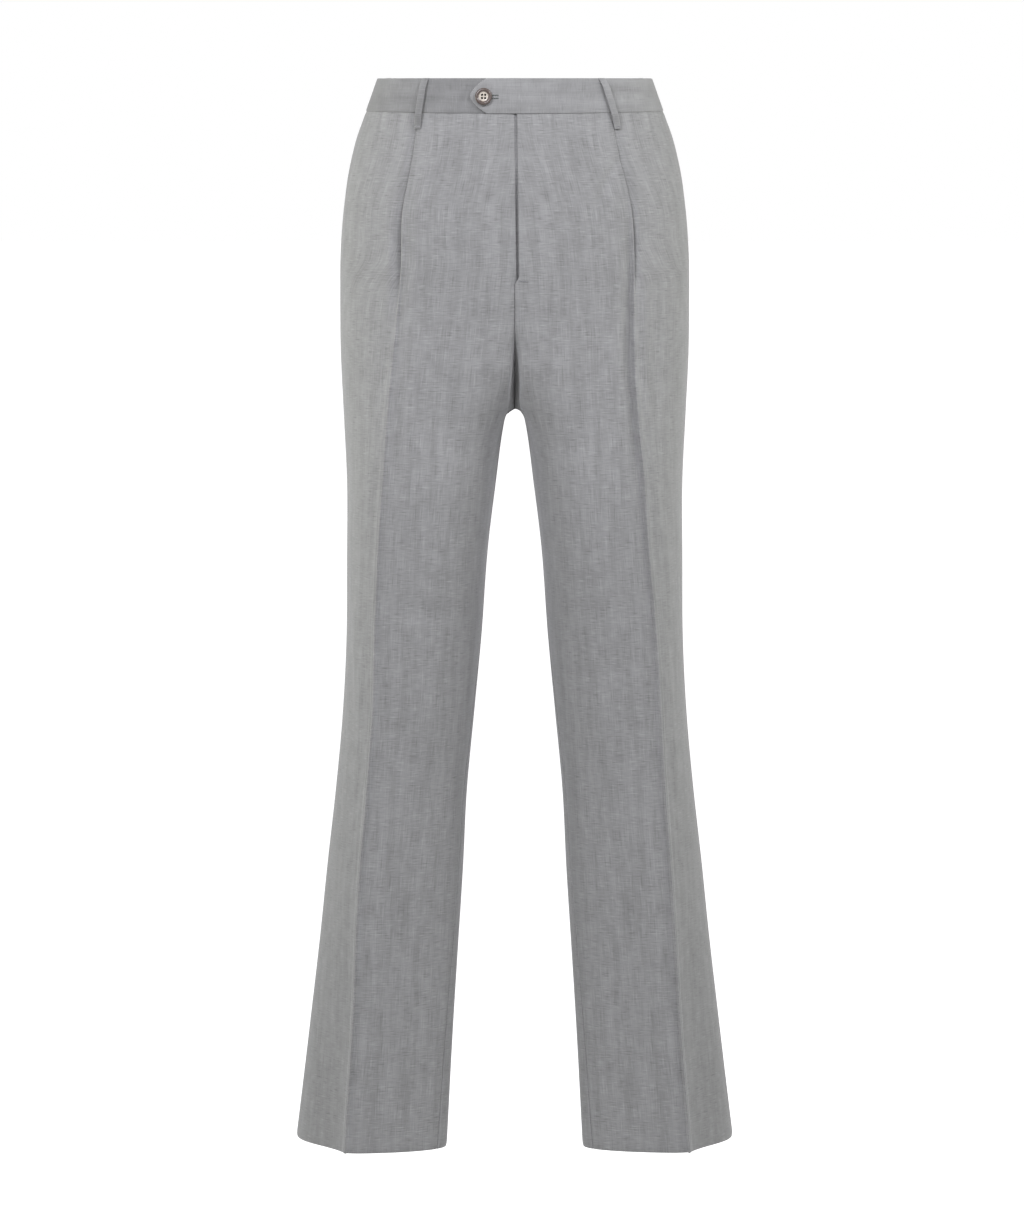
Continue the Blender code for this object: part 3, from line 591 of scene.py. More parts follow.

# %% [markdown]
# ## Thickness, grain and cut
#
# Real cloth has two sides, so Solidify lays a thin wall on the inside.  The weave has to follow
# the grain, so each panel has a map of its own: across the cloth it counts millimetres from the
# crease, and down the cloth it counts the rows' distance.  Laid flat, the same map gives the
# shape of the cut.

# %% Thickness, grain and cut
def add_wall(piece, thickness):
    """Cloth thickness, laid on the inside of the surface."""
    wall = piece.modifiers.new("wall", "SOLIDIFY")
    wall.thickness = thickness * MM
    wall.offset = -1.0
    wall.use_quality_normals = True


def grain(points, from_column):
    """The cloth map: across is the running distance from a column, down is it from the first row."""
    across = np.linalg.norm(np.diff(points, axis=1), axis=2)
    across = np.concatenate([np.zeros((len(points), 1)), np.cumsum(across, axis=1)], axis=1)
    across -= across[:, from_column:from_column + 1]
    down = np.linalg.norm(np.diff(points[:, from_column], axis=0), axis=1)
    down = np.concatenate([[0.0], np.cumsum(down)])
    return np.stack([across, np.broadcast_to(-down[:, None], across.shape)], axis=-1)


def show_size(piece):
    """Print how many triangles a piece has before its wall: two fewer than the corners of a face."""
    quads = sum(len(face.vertices) - 2 for face in piece.data.polygons)
    print(f"{piece.name}: {quads} triangles on its outer side")


print("helpers ready")

# %% [markdown]
# ## Colours and nodes
#
# A hex colour is written for the eye, while the renderer counts light, so each is turned from
# one to the other once.  One small function adds a node with its settings and its links, and a
# material below is then a list of such calls that can be read from top to bottom.

# %% Colours and nodes
def linear(hex_colour):
    """An sRGB hex colour as linear light: the usual curve, a power of 2.4 above its straight foot."""
    values = [int(hex_colour[i:i + 2], 16) / 255 for i in (1, 3, 5)]
    return tuple(v / 12.92 if v <= 0.04045 else ((v + 0.055) / 1.055) ** 2.4 for v in values) + (1.0,)


def add_node(tree, kind, inputs=None, **settings):
    """One node with its settings; each input is a value to set or a socket to link from."""
    node = tree.nodes.new(kind)
    for name, value in settings.items():
        setattr(node, name, value)
    for name, value in (inputs or {}).items():
        if isinstance(value, bpy.types.NodeSocket):
            tree.links.new(value, node.inputs[name])
        else:
            node.inputs[name].default_value = value
    return node


def new_material(name):
    """A material with its node tree and its shader."""
    material = bpy.data.materials.new(name)
    material.use_nodes = True
    tree = material.node_tree
    return material, tree, tree.nodes["Principled BSDF"]


print("middle grey as light:", round(linear("#808080")[0], 3))

# %% [markdown]
# ## Worsted wool
#
# The cloth is a light grey worsted: smooth combed wool yarn in a plain weave.  The yarn is
# unevenly thick, and it is that which the eye reads: short darker and lighter streaks, one way
# along the warp and the other way along the weft, over an almost even ground.  Two stretched
# noises on the cloth map give the streaks, each times its own size, so that few stand out.  A
# fine even noise gives the fibres, and two large ones the faint shades and clouds of pressed
# cloth.  The finish is matt, with a soft sheen at glancing angles.

# %% Layers of the wool
# Sizes in mm.  A yarn is about 0.4 mm thick, too fine to show from a few steps away, so a streak
# is drawn as wide as two or three yarns.
LAYER_COLUMNS = ("name", "kind", "across", "down", "detail", "place", "weight")
WOOL_LAYERS = (
    ("warp", "streak", 1.3, 24.0, 1.0, 3.1, 3.9),
    ("weft", "streak", 11.0, 1.3, 1.0, 11.7, 5.4),
    ("fibres", "even", 1.5, 1.5, 2.0, 5.3, 0.16),
    ("shades", "even", 9.0, 110.0, 2.0, 7.9, 0.62),
    ("clouds", "even", 17.0, 17.0, 2.0, 2.3, 0.5),
)
print("layers:", *(row[0] for row in WOOL_LAYERS))

# %% [markdown]
# ## From layers to cloth
#
# Each layer is a Noise node behind a Mapping node that stretches it, and all are added to one
# middle tone, which then mixes the cloth's dark and light greys and raises the yarn a little.
# The waistband's two halves are cut from other parts of the cloth than the panels, and
# interlining holds them flat, so their streaks show less.  The right half also gets darker greys:
# that is painted shade, for the dimmer light on that side of the front, and the belt loops on the
# right share it.

# %% Worsted wool
PLACE_SLANT = 0.37
MIDDLE_TONE = 0.5
YARN_DEPTH = 0.10 * MM
WOOL_DARK, WOOL_LIGHT = "#7c7c7b", "#ababab"
# The right half's darker greys are painted shade, not a different cloth.
SHADED_BAND_DARK, SHADED_BAND_LIGHT = "#70706f", "#9d9d9d"
BAND_STREAKS = 0.6


def worsted(name, dark, light, streaks=1.0):
    """Woven wool: a middle tone plus each layer's noise, less its mean, times its weight."""
    material, tree, shader = new_material(name)
    cloth_map = add_node(tree, "ShaderNodeUVMap", uv_map=CLOTH_MAP).outputs["UV"]
    total = MIDDLE_TONE
    for row in WOOL_LAYERS:
        layer = dict(zip(LAYER_COLUMNS, row))
        scaled = add_node(tree, "ShaderNodeMapping", {
            "Vector": cloth_map,
            "Scale": (1 / (layer["across"] * MM), 1 / (layer["down"] * MM), 1.0),
            "Location": (layer["place"], layer["place"] * PLACE_SLANT, 0.0)})
        noise = add_node(tree, "ShaderNodeTexNoise", {
            "Vector": scaled.outputs["Vector"], "Scale": 1.0, "Detail": layer["detail"],
            "Roughness": 0.5})
        level = add_node(tree, "ShaderNodeMath", {0: noise.outputs["Fac"], 1: 0.5},
                         operation="SUBTRACT").outputs["Value"]
        weight = layer["weight"]
        if layer["kind"] == "streak":
            size = add_node(tree, "ShaderNodeMath", {0: level}, operation="ABSOLUTE").outputs["Value"]
            level = add_node(tree, "ShaderNodeMath", {0: level, 1: size},
                             operation="MULTIPLY").outputs["Value"]
            weight = weight * streaks
        total = add_node(tree, "ShaderNodeMath", {0: level, 1: weight, 2: total},
                         operation="MULTIPLY_ADD").outputs["Value"]
    colour = add_node(tree, "ShaderNodeMix", {
        "Factor": total, 6: linear(dark), 7: linear(light)}, data_type="RGBA")
    tree.links.new(colour.outputs[2], shader.inputs["Base Color"])
    bump = add_node(tree, "ShaderNodeBump", {"Height": total, "Distance": YARN_DEPTH, "Strength": 0.5})
    tree.links.new(bump.outputs["Normal"], shader.inputs["Normal"])
    shader.inputs["Roughness"].default_value = 0.9
    shader.inputs["IOR"].default_value = 1.5
    shader.inputs["Specular IOR Level"].default_value = 0.3
    shader.inputs["Sheen Weight"].default_value = 0.5
    shader.inputs["Sheen Roughness"].default_value = 0.5
    return material


wool = worsted("grey_worsted_wool", WOOL_DARK, WOOL_LIGHT)
band_wool = {
    LEFT: worsted("grey_worsted_wool_band_left", WOOL_DARK, WOOL_LIGHT, BAND_STREAKS),
    # The right half's material carries painted shade in its darker greys.
    RIGHT: worsted("grey_worsted_wool_band_right_painted_shade", SHADED_BAND_DARK, SHADED_BAND_LIGHT, BAND_STREAKS),
}
print("materials:", wool.name, *(made.name for made in band_wool.values()))

# %% [markdown]
# ## Where the band lies
#
# A waistband is straight from its top edge to its seam.  The tape is longer at the seam than at
# the top, so behind the side each row is stretched or shrunk a little, and both ends of the band
# reach the centre back.  The seam rises a few millimetres to the sides.

# %% The band's surface
BAND = 2.1
BAND_PROUD = 0.45
BAND_CROWN = 0.25
BAND_FOOT = WAIST_SEAM + 0.35
BAND_TOP = WAIST_TOP + 1.9


def seam_rise(x):
    """The waist seam's rise in mm: by the square of the way from the centre to the side."""
    return SIDE_SEAM_RISE * (x / section_value("side_x", WAIST_SEAM)) ** 2


def band_surface(z, tape, sink, hand):
    """Points on the band at any z, tape and sink: a straight mix of its top edge and its seam."""
    shape = np.broadcast_shapes(np.shape(z), np.shape(tape), np.shape(sink))
    z, tape, sink = (np.broadcast_to(a, shape).ravel() for a in (z, tape, sink))
    corners = corner_lengths(np.array([WAIST_TOP, WAIST_SEAM]), hand)
    mean = corners.mean(axis=0)
    to_end = ease((tape - mean[SIDE]) / (mean[END] - mean[SIDE]))
    tapes = tape[None, :] + (corners[:, END:] - mean[END]) * to_end[None, :]
    ends = skin(np.array([WAIST_TOP, WAIST_SEAM]), tapes, np.stack([sink, sink]), hand)
    share = ((WAIST_TOP - z) / (WAIST_TOP - WAIST_SEAM))[:, None]
    points = ends[0] * (1 - share) + ends[1] * share
    points[:, 2] = z + seam_rise(ends[1][:, 0]) * share[:, 0]
    return points.reshape(shape + (3,))


def strip_ring(half, radius, flats, turns):
    """A flat strip's outline: height above its middle and depth behind its face, anticlockwise.

    Its two faces are straight and its two edges are half circles.
    """
    up = np.linspace(-1.0, 1.0, flats + 1) * (half - radius)
    angle = np.linspace(0.0, math.pi, turns + 2)[1:-1]
    height = np.concatenate([up, half - radius + radius * np.sin(angle),
                             up[::-1], -(half - radius) - radius * np.sin(angle)])
    depth = np.concatenate([0 * up, radius - radius * np.cos(angle),
                            2 * radius + 0 * up, radius + radius * np.cos(angle)])
    return height, depth


print("band:", BAND_TOP - BAND_FOOT, "mm deep and", BAND, "mm thick")

# %% [markdown]
# ## Faint folds in the band
#
# Even a stiff band isn't quite flat.  A fold is a line from one place to another with a width and
# a height: a bell across it, fading to both ends.  Its formula serves the panels as well.

# %% Folds of the band
FOLD_FADE = 0.8
BAND_FOLD_COLUMNS = ("from_tape", "from_up", "to_tape", "to_up", "width", "height")
BAND_FOLDS = {
    LEFT: ((-20.0, 9.0, 62.0, 12.5, 3.0, 0.18), (30.0, -7.0, 96.0, -3.0, 3.5, -0.22),
           (118.0, 6.0, 190.0, 3.0, 4.0, 0.25), (230.0, -6.0, 300.0, -1.0, 4.0, -0.3),
           (300.0, 8.0, 372.0, 5.0, 4.5, 0.2)),
    RIGHT: ((54.0, 11.0, 128.0, 8.0, 3.2, -0.3), (62.0, -8.0, 112.0, -10.0, 3.0, 0.2),
            (122.0, -3.0, 186.0, 2.0, 4.0, 0.3), (226.0, 5.0, 296.0, 9.0, 4.2, -0.25),
            (292.0, -9.0, 366.0, -5.0, 4.5, 0.25)),
}


def fold_shape(p, q, a, b, width, height, bow=0.0):
    """A soft fold from a to b: height x a bell of the distance off its line x a fade to its ends."""
    way = (b[0] - a[0], b[1] - a[1])
    long = math.hypot(*way)
    t = ((p - a[0]) * way[0] + (q - a[1]) * way[1]) / long**2
    off = ((p - a[0]) * way[1] - (q - a[1]) * way[0]) / long - bow * 4 * t * (1 - t)
    fade = np.clip(4 * t * (1 - t), 0.0, 1.0) ** FOLD_FADE
    return height * np.exp(-((off / width) ** 2)) * fade


def band_folds(tape, height, hand):
    """The band's folds, added up on its grid of tape readings and heights."""
    total = np.zeros_like(height)
    for row in BAND_FOLDS[hand]:
        fold = dict(zip(BAND_FOLD_COLUMNS, row))
        total += fold_shape(tape[None, :], height, (fold["from_tape"], fold["from_up"]),
                            (fold["to_tape"], fold["to_up"]), fold["width"], fold["height"])
    return total


print("folds in the band:", len(BAND_FOLDS[LEFT]) + len(BAND_FOLDS[RIGHT]))

# %% [markdown]
# ## The waistband
#
# A waistband is a folded strip over a stiff interlining, so it is about 2 mm thick and its long
# edges are round.  The left half ends in a pointed tab that laps over the right half, which dips
# under it.  First come the places along the tape where its cross-section will stand: crowded
# round the tab's nose, where it changes fast, and even from there on.

# %% Tab and underlap
TAB_TIP = 46.0
TAB_NOSE = 17.0
TIP_BLUNT = 0.05
BAND_UNDERLAP = 22.0
BAND_DIP_FROM = 62.0
BAND_DIP_TO = 49.0
NOSE_RINGS, TAB_RINGS, UNDERLAP_RINGS, BAND_RINGS = 26, 22, 14, 190
NOSE_CROWDING, NOSE_STEP = 1.7, 1.5
FRONT_END = 10.0
RING_STEP = 2.5


def band_dip(tape):
    """How deep the right half band lies under the tab: its own thickness, eased out at the end."""
    return (BAND + 2 * SEAM_GAP) * (1.0 - ease((tape - BAND_DIP_TO) / (BAND_DIP_FROM - BAND_DIP_TO)))


def band_tape(hand):
    """Tape readings of the band's rings, crowded by a power of the way round the tab's nose."""
    end = corner_lengths(np.array([WAIST_TOP, WAIST_SEAM]), hand).mean(axis=0)[END]
    if hand == LEFT:
        nose = TAB_NOSE * np.linspace(0.0, 1.0, NOSE_RINGS) ** NOSE_CROWDING - TAB_TIP
        nose[0] += TIP_BLUNT
        front = np.concatenate([nose, np.linspace(TAB_NOSE - TAB_TIP + NOSE_STEP, FRONT_END, TAB_RINGS)])
    else:
        front = np.linspace(-BAND_UNDERLAP, FRONT_END, UNDERLAP_RINGS)
    return np.concatenate([front, np.linspace(FRONT_END + RING_STEP, end - SEAM_GAP / 2, BAND_RINGS)])


print("cross-sections of the left half:", len(band_tape(LEFT)), "and of the right:", len(band_tape(RIGHT)))

# %% [markdown]
# ## A ring carried round the waist
#
# The band's cross-section is a ring of points that goes up the outer face, over the top edge,
# down the inner face and round the foot.  It is set at every place along the tape.  The tab's
# nose comes from shrinking the ring's height, so its edge stays one round roll to the tip.

# %% Waistband
TAB_CURVE = 0.6
TAB_LIFT = 0.5
TAB_LIFTS_OVER = 30.0
BAND_FLATS, BAND_TURNS = 14, 7
INNER_CROWN, CROWN_POWER = -0.4, 4
LEAST_RING = 1.02
HALVES_APART = 300.0


def waistband(hand):
    """The strip's ring at each tape reading, moved out by its crown, its folds and the tab's lift."""
    tape = band_tape(hand)
    radius = BAND / 2
    middle = (BAND_TOP + BAND_FOOT) / 2
    half = (BAND_TOP - BAND_FOOT) / 2
    grown, lift, dip = np.ones_like(tape), np.zeros_like(tape), np.zeros_like(tape)
    if hand == LEFT:
        grown = np.clip((tape + TAB_TIP) / TAB_NOSE, 0.0, 1.0) ** TAB_CURVE
        lift = TAB_LIFT * ease(-tape / TAB_LIFTS_OVER)
    else:
        dip = band_dip(tape)
    halves = np.maximum(half * grown, radius * LEAST_RING)
    height, depth = zip(*(strip_ring(h, radius, BAND_FLATS, BAND_TURNS) for h in halves))
    height, depth = np.stack(height, axis=1), np.stack(depth, axis=1)
    side_of_band = np.where(depth < radius, 1.0, INNER_CROWN)
    crown = BAND_CROWN * (1.0 - (height / halves) ** CROWN_POWER) * side_of_band
    sink = -BAND_PROUD + depth - lift + dip - crown - band_folds(tape, height, hand)
    rings = band_surface(middle + height, tape[None, :], sink, hand)
    values = pair(*np.broadcast_arrays(height + 2 * depth, tape[None, :] + HALVES_APART * hand))
    node = "waistband_" + HAND_NAMES[hand]
    # On the right half the material's greys are darkened as painted shade.
    piece = tube_piece(node + "_cloth", rings, values, hand == LEFT, band_wool[hand])
    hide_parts(node)
    show_size(piece)
    return piece


bands = {hand: waistband(hand) for hand in (LEFT, RIGHT)}

# %% [markdown]
# ## Fronts and backs: the rows
#
# A leg panel is one grid from the waist seam to the hem.  Its top rows are the seam allowance,
# which a tailor presses up behind the band, so no light comes through the waist seam.  The rows
# are close together where the seat turns under into the fork, and at the hem they turn up round
# a small half circle and run up inside the leg, as a blind hem does.

# %% Rows of a leg panel
WAIST_ROWS = np.array([-17.0, -17.5, -18.2, -19.2, -20.6, -22.4])
TURN_RISE = np.array([7.5, 5.5, 3.5, 2.0, 1.1, 0.45])
TURN_SINK = np.array([1.95, 1.9, 1.8, 1.65, 1.2, 0.5])
TURN_DIP = np.array([1.0, 1.0, 1.0, 1.0, 1.0, 0.9])
TURN_FROM = {LEFT: 22.3, RIGHT: 9.0}
TURN_LEAST = 0.08
WAIST_SINK = 0.4
SEAT_TOP = -24.8
SEAT_ROWS, DIVE_ROWS, LEG_ROWS, ROLL_ROWS, ARCH_EVERY = 74, 36, 176, 5, 5
BELOW_ARCH, FOOT_HIGH, WAIST_SINK_OVER = 2.5, 8.0, 4.5
HEM_FOLD = 0.9
FOOT_ROWS = np.array([5.5, 3.4, 1.8, HEM_FOLD])
FOOT_SINK = np.array([0.05, 0.18, 0.42, 0.7])
TURNED_UP = np.array([2.5, 6.0, 12.0, 20.0, 30.0, 40.0])


def leg_rows():
    """Heights of the rows, and the sink that turns the last ones up inside the hem."""
    seat = np.linspace(SEAT_TOP, FRONT_RISE_TURNS, SEAT_ROWS)
    angle = np.linspace(0.0, math.pi / 2, DIVE_ROWS)
    dive = FRONT_RISE_TURNS + (FORK - FRONT_RISE_TURNS) * np.sin(angle[1:])
    arch = FORK - ARCH * (1.0 - np.cos(angle[::ARCH_EVERY][1:]))
    leg = np.linspace(arch[-1] - BELOW_ARCH, HEM + FOOT_HIGH, LEG_ROWS)
    roll = np.linspace(0.0, math.pi, ROLL_ROWS + 1)[1:]
    under = HEM + HEM_FOLD * (1.0 - np.sin(roll))
    body = np.concatenate([WAIST_ROWS, seat, dive, arch, leg])
    z = np.concatenate([0 * TURN_RISE + WAIST_SEAM, body, HEM + FOOT_ROWS, under, HEM + TURNED_UP])
    sink = np.concatenate([TURN_SINK, 0 * body, FOOT_SINK, FOOT_SINK[-1] + HEM_FOLD * (1.0 - np.cos(roll)),
                           0 * TURNED_UP + FOOT_SINK[-1] + 2 * HEM_FOLD])
    sink += WAIST_SINK * (1.0 - ease((WAIST_SEAM - z) / WAIST_SINK_OVER))
    return z, sink[:, None]


Z_ROWS, ROW_SINK = leg_rows()
print("rows of a leg panel:", len(Z_ROWS))

# %% [markdown]
# ## Laying a panel
#
# A panel's top edge follows the waist seam, which rises towards the side.  Above it the seam
# allowance stands up behind the band, on the right also behind the part that dips under the
# tab.  Beside the fly it lies flat, because there it is sewn into the fly's own edge.

# %% Laying a panel
TURN_RISE_OVER = 3.5


def share_above(z, low, high):
    """1 above high, 0 below low, and a soft step between."""
    return ease((z - low) / (high - low))


def lay_panel(z, tape, sink, hand):
    """Skin points of a panel, raised with the waist seam, and its allowance turned up above it."""
    turned_up = len(TURN_RISE)
    if hand == RIGHT:
        sink = sink.copy()
        sink[:turned_up] += TURN_DIP[:, None] * band_dip(tape[:turned_up])
    points = skin(z, tape, sink, hand)
    fade = np.clip((z - RISE_FADES_AT) / (WAIST_SEAM - RISE_FADES_AT), 0.0, 1.0)
    points[..., 2] += seam_rise(points[..., 0]) * fade[:, None]
    upright = TURN_LEAST + (1.0 - TURN_LEAST) * ease((tape[:turned_up] - TURN_FROM[hand])
                                                      / TURN_RISE_OVER)
    points[:turned_up, :, 2] += TURN_RISE[:, None] * upright
    return points


print("allowance turned up:", TURN_RISE[0], "mm")

# %% [markdown]
# ## Seams
#
# Two panels meet in a seam that was pressed open, and it shows as a fine dark groove.  The eight
# columns next to it make it: the upper piece rolls in at the edge, the lower one dips sooner and
# runs on beneath, so that no light comes through.  At the inseam the groove is deeper, because
# there the cloth is pressed open over a hard edge.

# %% Seam profiles
OVER_TAPE = np.array([0.10, 0.10, 0.12, 0.20, 0.40, 0.80, 1.5, 2.8])
OVER_SINK = np.array([1.15, 0.95, 0.75, 0.55, 0.34, 0.16, 0.05, 0.0])
UNDER_TAPE = np.array([-6.0, -3.5, -1.6, -0.45, 0.10, 0.55, 1.3, 2.8])
UNDER_SINK = np.array([2.3, 2.3, 2.2, 1.9, 1.1, 0.42, 0.1, 0.0])
INSEAM_DEEPER = 0.7
INSEAM_DEEP_AT = -600.0


def seam_forward(z):
    """How far the inseam lies forward of the leg's innermost point."""
    forward = smooth_column(INSEAM, INSEAM_COLUMNS, "seam_forward", np.minimum(z, FORK))
    return np.where(z < FORK, forward, 0.0)[:, None]


def inseam_depth(z):
    """How many times deeper the inseam's groove is: 1 at the fork, growing by a soft step."""
    return 1.0 + INSEAM_DEEPER * (1.0 - share_above(z, INSEAM_DEEP_AT, FORK))[:, None]


def seam_edge(under):
    """Tape and sink of the eight columns beside a seam, where under is 1 on rows that go beneath.

    The upper piece turns in at the seam.  The lower one dips and runs on beneath it, so that no
    light comes through.
    """
    return (OVER_TAPE + (UNDER_TAPE - OVER_TAPE) * under,
            OVER_SINK + (UNDER_SINK - OVER_SINK) * under)


print("groove at a seam:", OVER_SINK[0], "mm, and at the inseam up to",
      round(OVER_SINK[0] * (1 + INSEAM_DEEPER), 2), "mm")

# %% [markdown]
# ## Pleats
#
# A reverse pleat is a Z in the cloth: the front turns under at the fold's edge, runs back as a
# flap, turns again at a hinge and goes on towards the side seam.  Each link of the Z has a length
# and a heading, and the running sums of the links give the grid's columns.  Lower down the
# pleat opens, its flap runs out and only the pressed crease is left.  For each height the table
# gives the whole turn in degrees, the length of the edge, the flap and the hinge, and the place
# where the under layer meets the front again.

# %% Pleat tables
PLEAT_COLUMNS = ("z", "turn", "edge", "flap", "hinge", "meets")
PLEATS = {
    RIGHT: (
        (-17.0, 180.0, 1.8, 20.0, 1.4, 10.0),
        (-60.0, 180.0, 1.9, 18.0, 1.4, 10.0),
        (-90.0, 180.0, 2.2, 15.0, 1.6, 10.0),
        (-107.0, 180.0, 2.9, 13.0, 2.0, 10.0),
        (-122.0, 179.0, 5.2, 10.0, 3.4, 10.0),
        (-148.0, 176.0, 8.2, 7.0, 5.8, 13.5),
        (-168.0, 168.0, 8.0, 4.0, 5.6, 13.5),
        (-184.0, 150.0, 3.8, 2.0, 2.7, 10.0),
        (-195.0, 118.0, 2.1, 0.8, 1.5, 11.0),
        (-205.0, 74.0, 1.3, 0.4, 1.0, 13.0),
        (-216.0, 30.0, 1.2, 0.4, 0.9, 15.0),
        (-232.0, 8.0, 1.6, 0.6, 1.2, 18.0),
        (-262.0, 0.0, 2.4, 0.9, 1.8, 20.0),
        (-1094.0, 0.0, 2.4, 0.9, 1.8, 20.0),
    ),
    LEFT: (
        (-17.0, 180.0, 1.5, 20.0, 1.1, 12.0),
        (-60.0, 180.0, 1.5, 18.0, 1.1, 12.0),
        (-100.0, 179.0, 1.8, 14.0, 1.2, 10.0),
        (-122.0, 178.0, 3.4, 10.0, 2.2, 6.0),
        (-142.0, 176.0, 5.2, 8.0, 3.6, 6.0),
        (-158.0, 170.0, 4.0, 5.5, 2.9, 5.5),
        (-170.0, 156.0, 2.6, 3.0, 1.9, 6.0),
        (-181.0, 118.0, 1.6, 1.0, 1.2, 8.0),
        (-190.0, 66.0, 1.1, 0.4, 0.9, 11.0),
        (-202.0, 26.0, 1.1, 0.4, 0.9, 14.0),
        (-220.0, 8.0, 1.6, 0.6, 1.2, 17.0),
        (-262.0, 0.0, 2.4, 0.9, 1.8, 20.0),
        (-1094.0, 0.0, 2.4, 0.9, 1.8, 20.0),
    ),
}
print("heights in the pleats' tables:", len(PLEATS[RIGHT]), "and", len(PLEATS[LEFT]))

# %% [markdown]
# ## The Z as running sums
#
# The edge is a few short links whose heading grows from nothing to the full turn, the flap holds
# it, and the hinge turns it back.  Adding the links up traces the fold.  Behind the fold the
# under layer rises to the front's surface again.

# %% Pleats
FOLD_CLEAR = 0.9
UNDER_POWER = 1.15
UNDER_SHARES = np.array([0.07, 0.15, 0.24, 0.34, 0.45, 0.57, 0.69, 0.82, 1.0])
HIDDEN_SHARES = np.array([0.34, 0.67, 1.0])
EDGE_LINKS, FLAP_LINKS, HINGE_LINKS = 6, 3, 4


def pleat_columns(z, hand):
    """Tape from the crease and sink of the pleat's columns on each row.

    They are the running sums of length x cosine and length x sine of the links' headings.  The
    under layer then rises to the skin by a power of the way that is left.
    """
    turn, edge, flap, hinge, meets = (
        straight_column(PLEATS[hand], PLEAT_COLUMNS, name, z) for name in PLEAT_COLUMNS[1:])
    links = np.stack([edge / EDGE_LINKS] * EDGE_LINKS + [flap / FLAP_LINKS] * FLAP_LINKS
                     + [hinge / HINGE_LINKS] * HINGE_LINKS, axis=1)
    share = np.concatenate([(np.arange(EDGE_LINKS) + 0.5) / EDGE_LINKS, np.ones(FLAP_LINKS),
                            1.0 - (np.arange(HINGE_LINKS) + 0.5) / HINGE_LINKS])
    heading = np.radians(turn)[:, None] * share
    run = np.cumsum(links * np.cos(heading), axis=1)
    sink = np.cumsum(links * np.sin(heading), axis=1)
    back, drop = run[:, -1:], sink[:, -1:]
    reach = np.maximum(-back, 0.0) + FOLD_CLEAR
    hidden = back + reach * HIDDEN_SHARES
    shown = hidden[:, -1:] + (meets[:, None] - hidden[:, -1:]) * UNDER_SHARES
    run = np.concatenate([run, hidden, shown], axis=1)
    rising = drop * (1.0 - UNDER_SHARES) ** UNDER_POWER
    sink = np.concatenate([sink, drop + 0 * hidden, rising], axis=1)
    return run, sink


print("columns of a pleat:", pleat_columns(Z_ROWS, RIGHT)[0].shape[1])

# %% [markdown]
# ## The fly's edge
#
# The left front laps over the right.  Its edge is folded under round a small half circle, and it
# runs down on a straight line to the fly's foot.  The right front runs on below it in a groove,
# shallow under the tab and deeper where the fly stands open a little.  Under the foot both
# fronts turn in to the centre seam.

# %% Fly edge and lap
FLY_END = -181.0
LAP_ENDS = -190.0
LAP_LEVELS = -198.0
FLY_EDGE_TOP = 2.2
FLY_EDGE_LOW = 4.4
FLY_ROLL = 0.65
FLY_TURNED_UNDER = [8.0, 3.2]
FLY_FLAT_FROM = [2.8]
LAP_GROOVE = 3.0
LAP_GROOVE_SHALLOW = 0.6
LAP_DEEPENS = (-120.0, -60.0)
LAP_SLOPE = 2.8
LAP_SLOPE_SHALLOW = 0.35
LAP_SLOPE_WIDE = 13.0
LAP_STEEPENS = (-150.0, -62.0)
GROOVE_FROM, GROOVE_WIDE, SLOPE_FROM = 1.1, 2.1, 1.0
LAP_CLEAR = np.array([-6.0, -4.2, -2.4, -0.8, 0.5, 1.3, 1.9, 2.6])
FORK_CHANGES = (-334.0, -320.0)


def fly_edge(z):
    """Tape reading of the left front's folded edge, on a straight line down to the fly's foot."""
    down = np.clip((WAIST_SEAM - z) / (WAIST_SEAM - FLY_END), 0.0, 1.0)
    return (FLY_EDGE_TOP + (FLY_EDGE_LOW - FLY_EDGE_TOP) * down)[:, None]


def front_edge(z, hand):
    """Tape and sink of the first eight columns of a front.

    Beside the fly the left front folds under round a small half circle, and the right front
    runs on below it in a groove.  Under the fly's foot both turn in to the centre seam.
    """
    fly = share_above(z, LAP_ENDS, FLY_END)[:, None]
    beneath = share_above(z, *FORK_CHANGES)[:, None] * (hand == RIGHT)
    seam_tape, seam_sink = seam_edge(beneath)
    seam_tape = seam_tape + seam_forward(z)
    seam_sink = seam_sink * inseam_depth(z)
    if hand == LEFT:
        angle = np.radians(np.linspace(180.0, 0.0, 5))
        roll_tape = np.concatenate([FLY_TURNED_UNDER, FLY_ROLL * (1.0 - np.sin(angle)), FLY_FLAT_FROM])
        roll_sink = np.concatenate([[2 * FLY_ROLL] * 2, FLY_ROLL * (1.0 - np.cos(angle)), [0.0]])
        tape = fly * (fly_edge(z) + roll_tape) + (1 - fly) * seam_tape
        return tape, fly * roll_sink + (1 - fly) * seam_sink
    tape = fly * (LAP_CLEAR - fly_edge(z)) + (1 - fly) * seam_tape
    under = share_above(z, LAP_LEVELS, LAP_ENDS)[:, None]
    return tape, under * lap_sink(z, tape) + (1 - under) * seam_sink


def lap_sink(z, tape):
    """Sink of the right front beside the fly: a narrow groove plus a broader slope up to the skin."""
    clear = tape + fly_edge(z)
    deep = LAP_GROOVE * (1.0 - (1.0 - LAP_GROOVE_SHALLOW) * share_above(z, *LAP_DEEPENS)[:, None])
    slope = LAP_SLOPE * (1.0 - (1.0 - LAP_SLOPE_SHALLOW) * share_above(z, *LAP_STEEPENS)[:, None])
    return (deep * (1.0 - ease((clear - GROOVE_FROM) / GROOVE_WIDE))
            + slope * (1.0 - ease((clear - SLOPE_FROM) / LAP_SLOPE_WIDE)))


print("the fly ends", -FLY_END, "mm below the middle of the band")
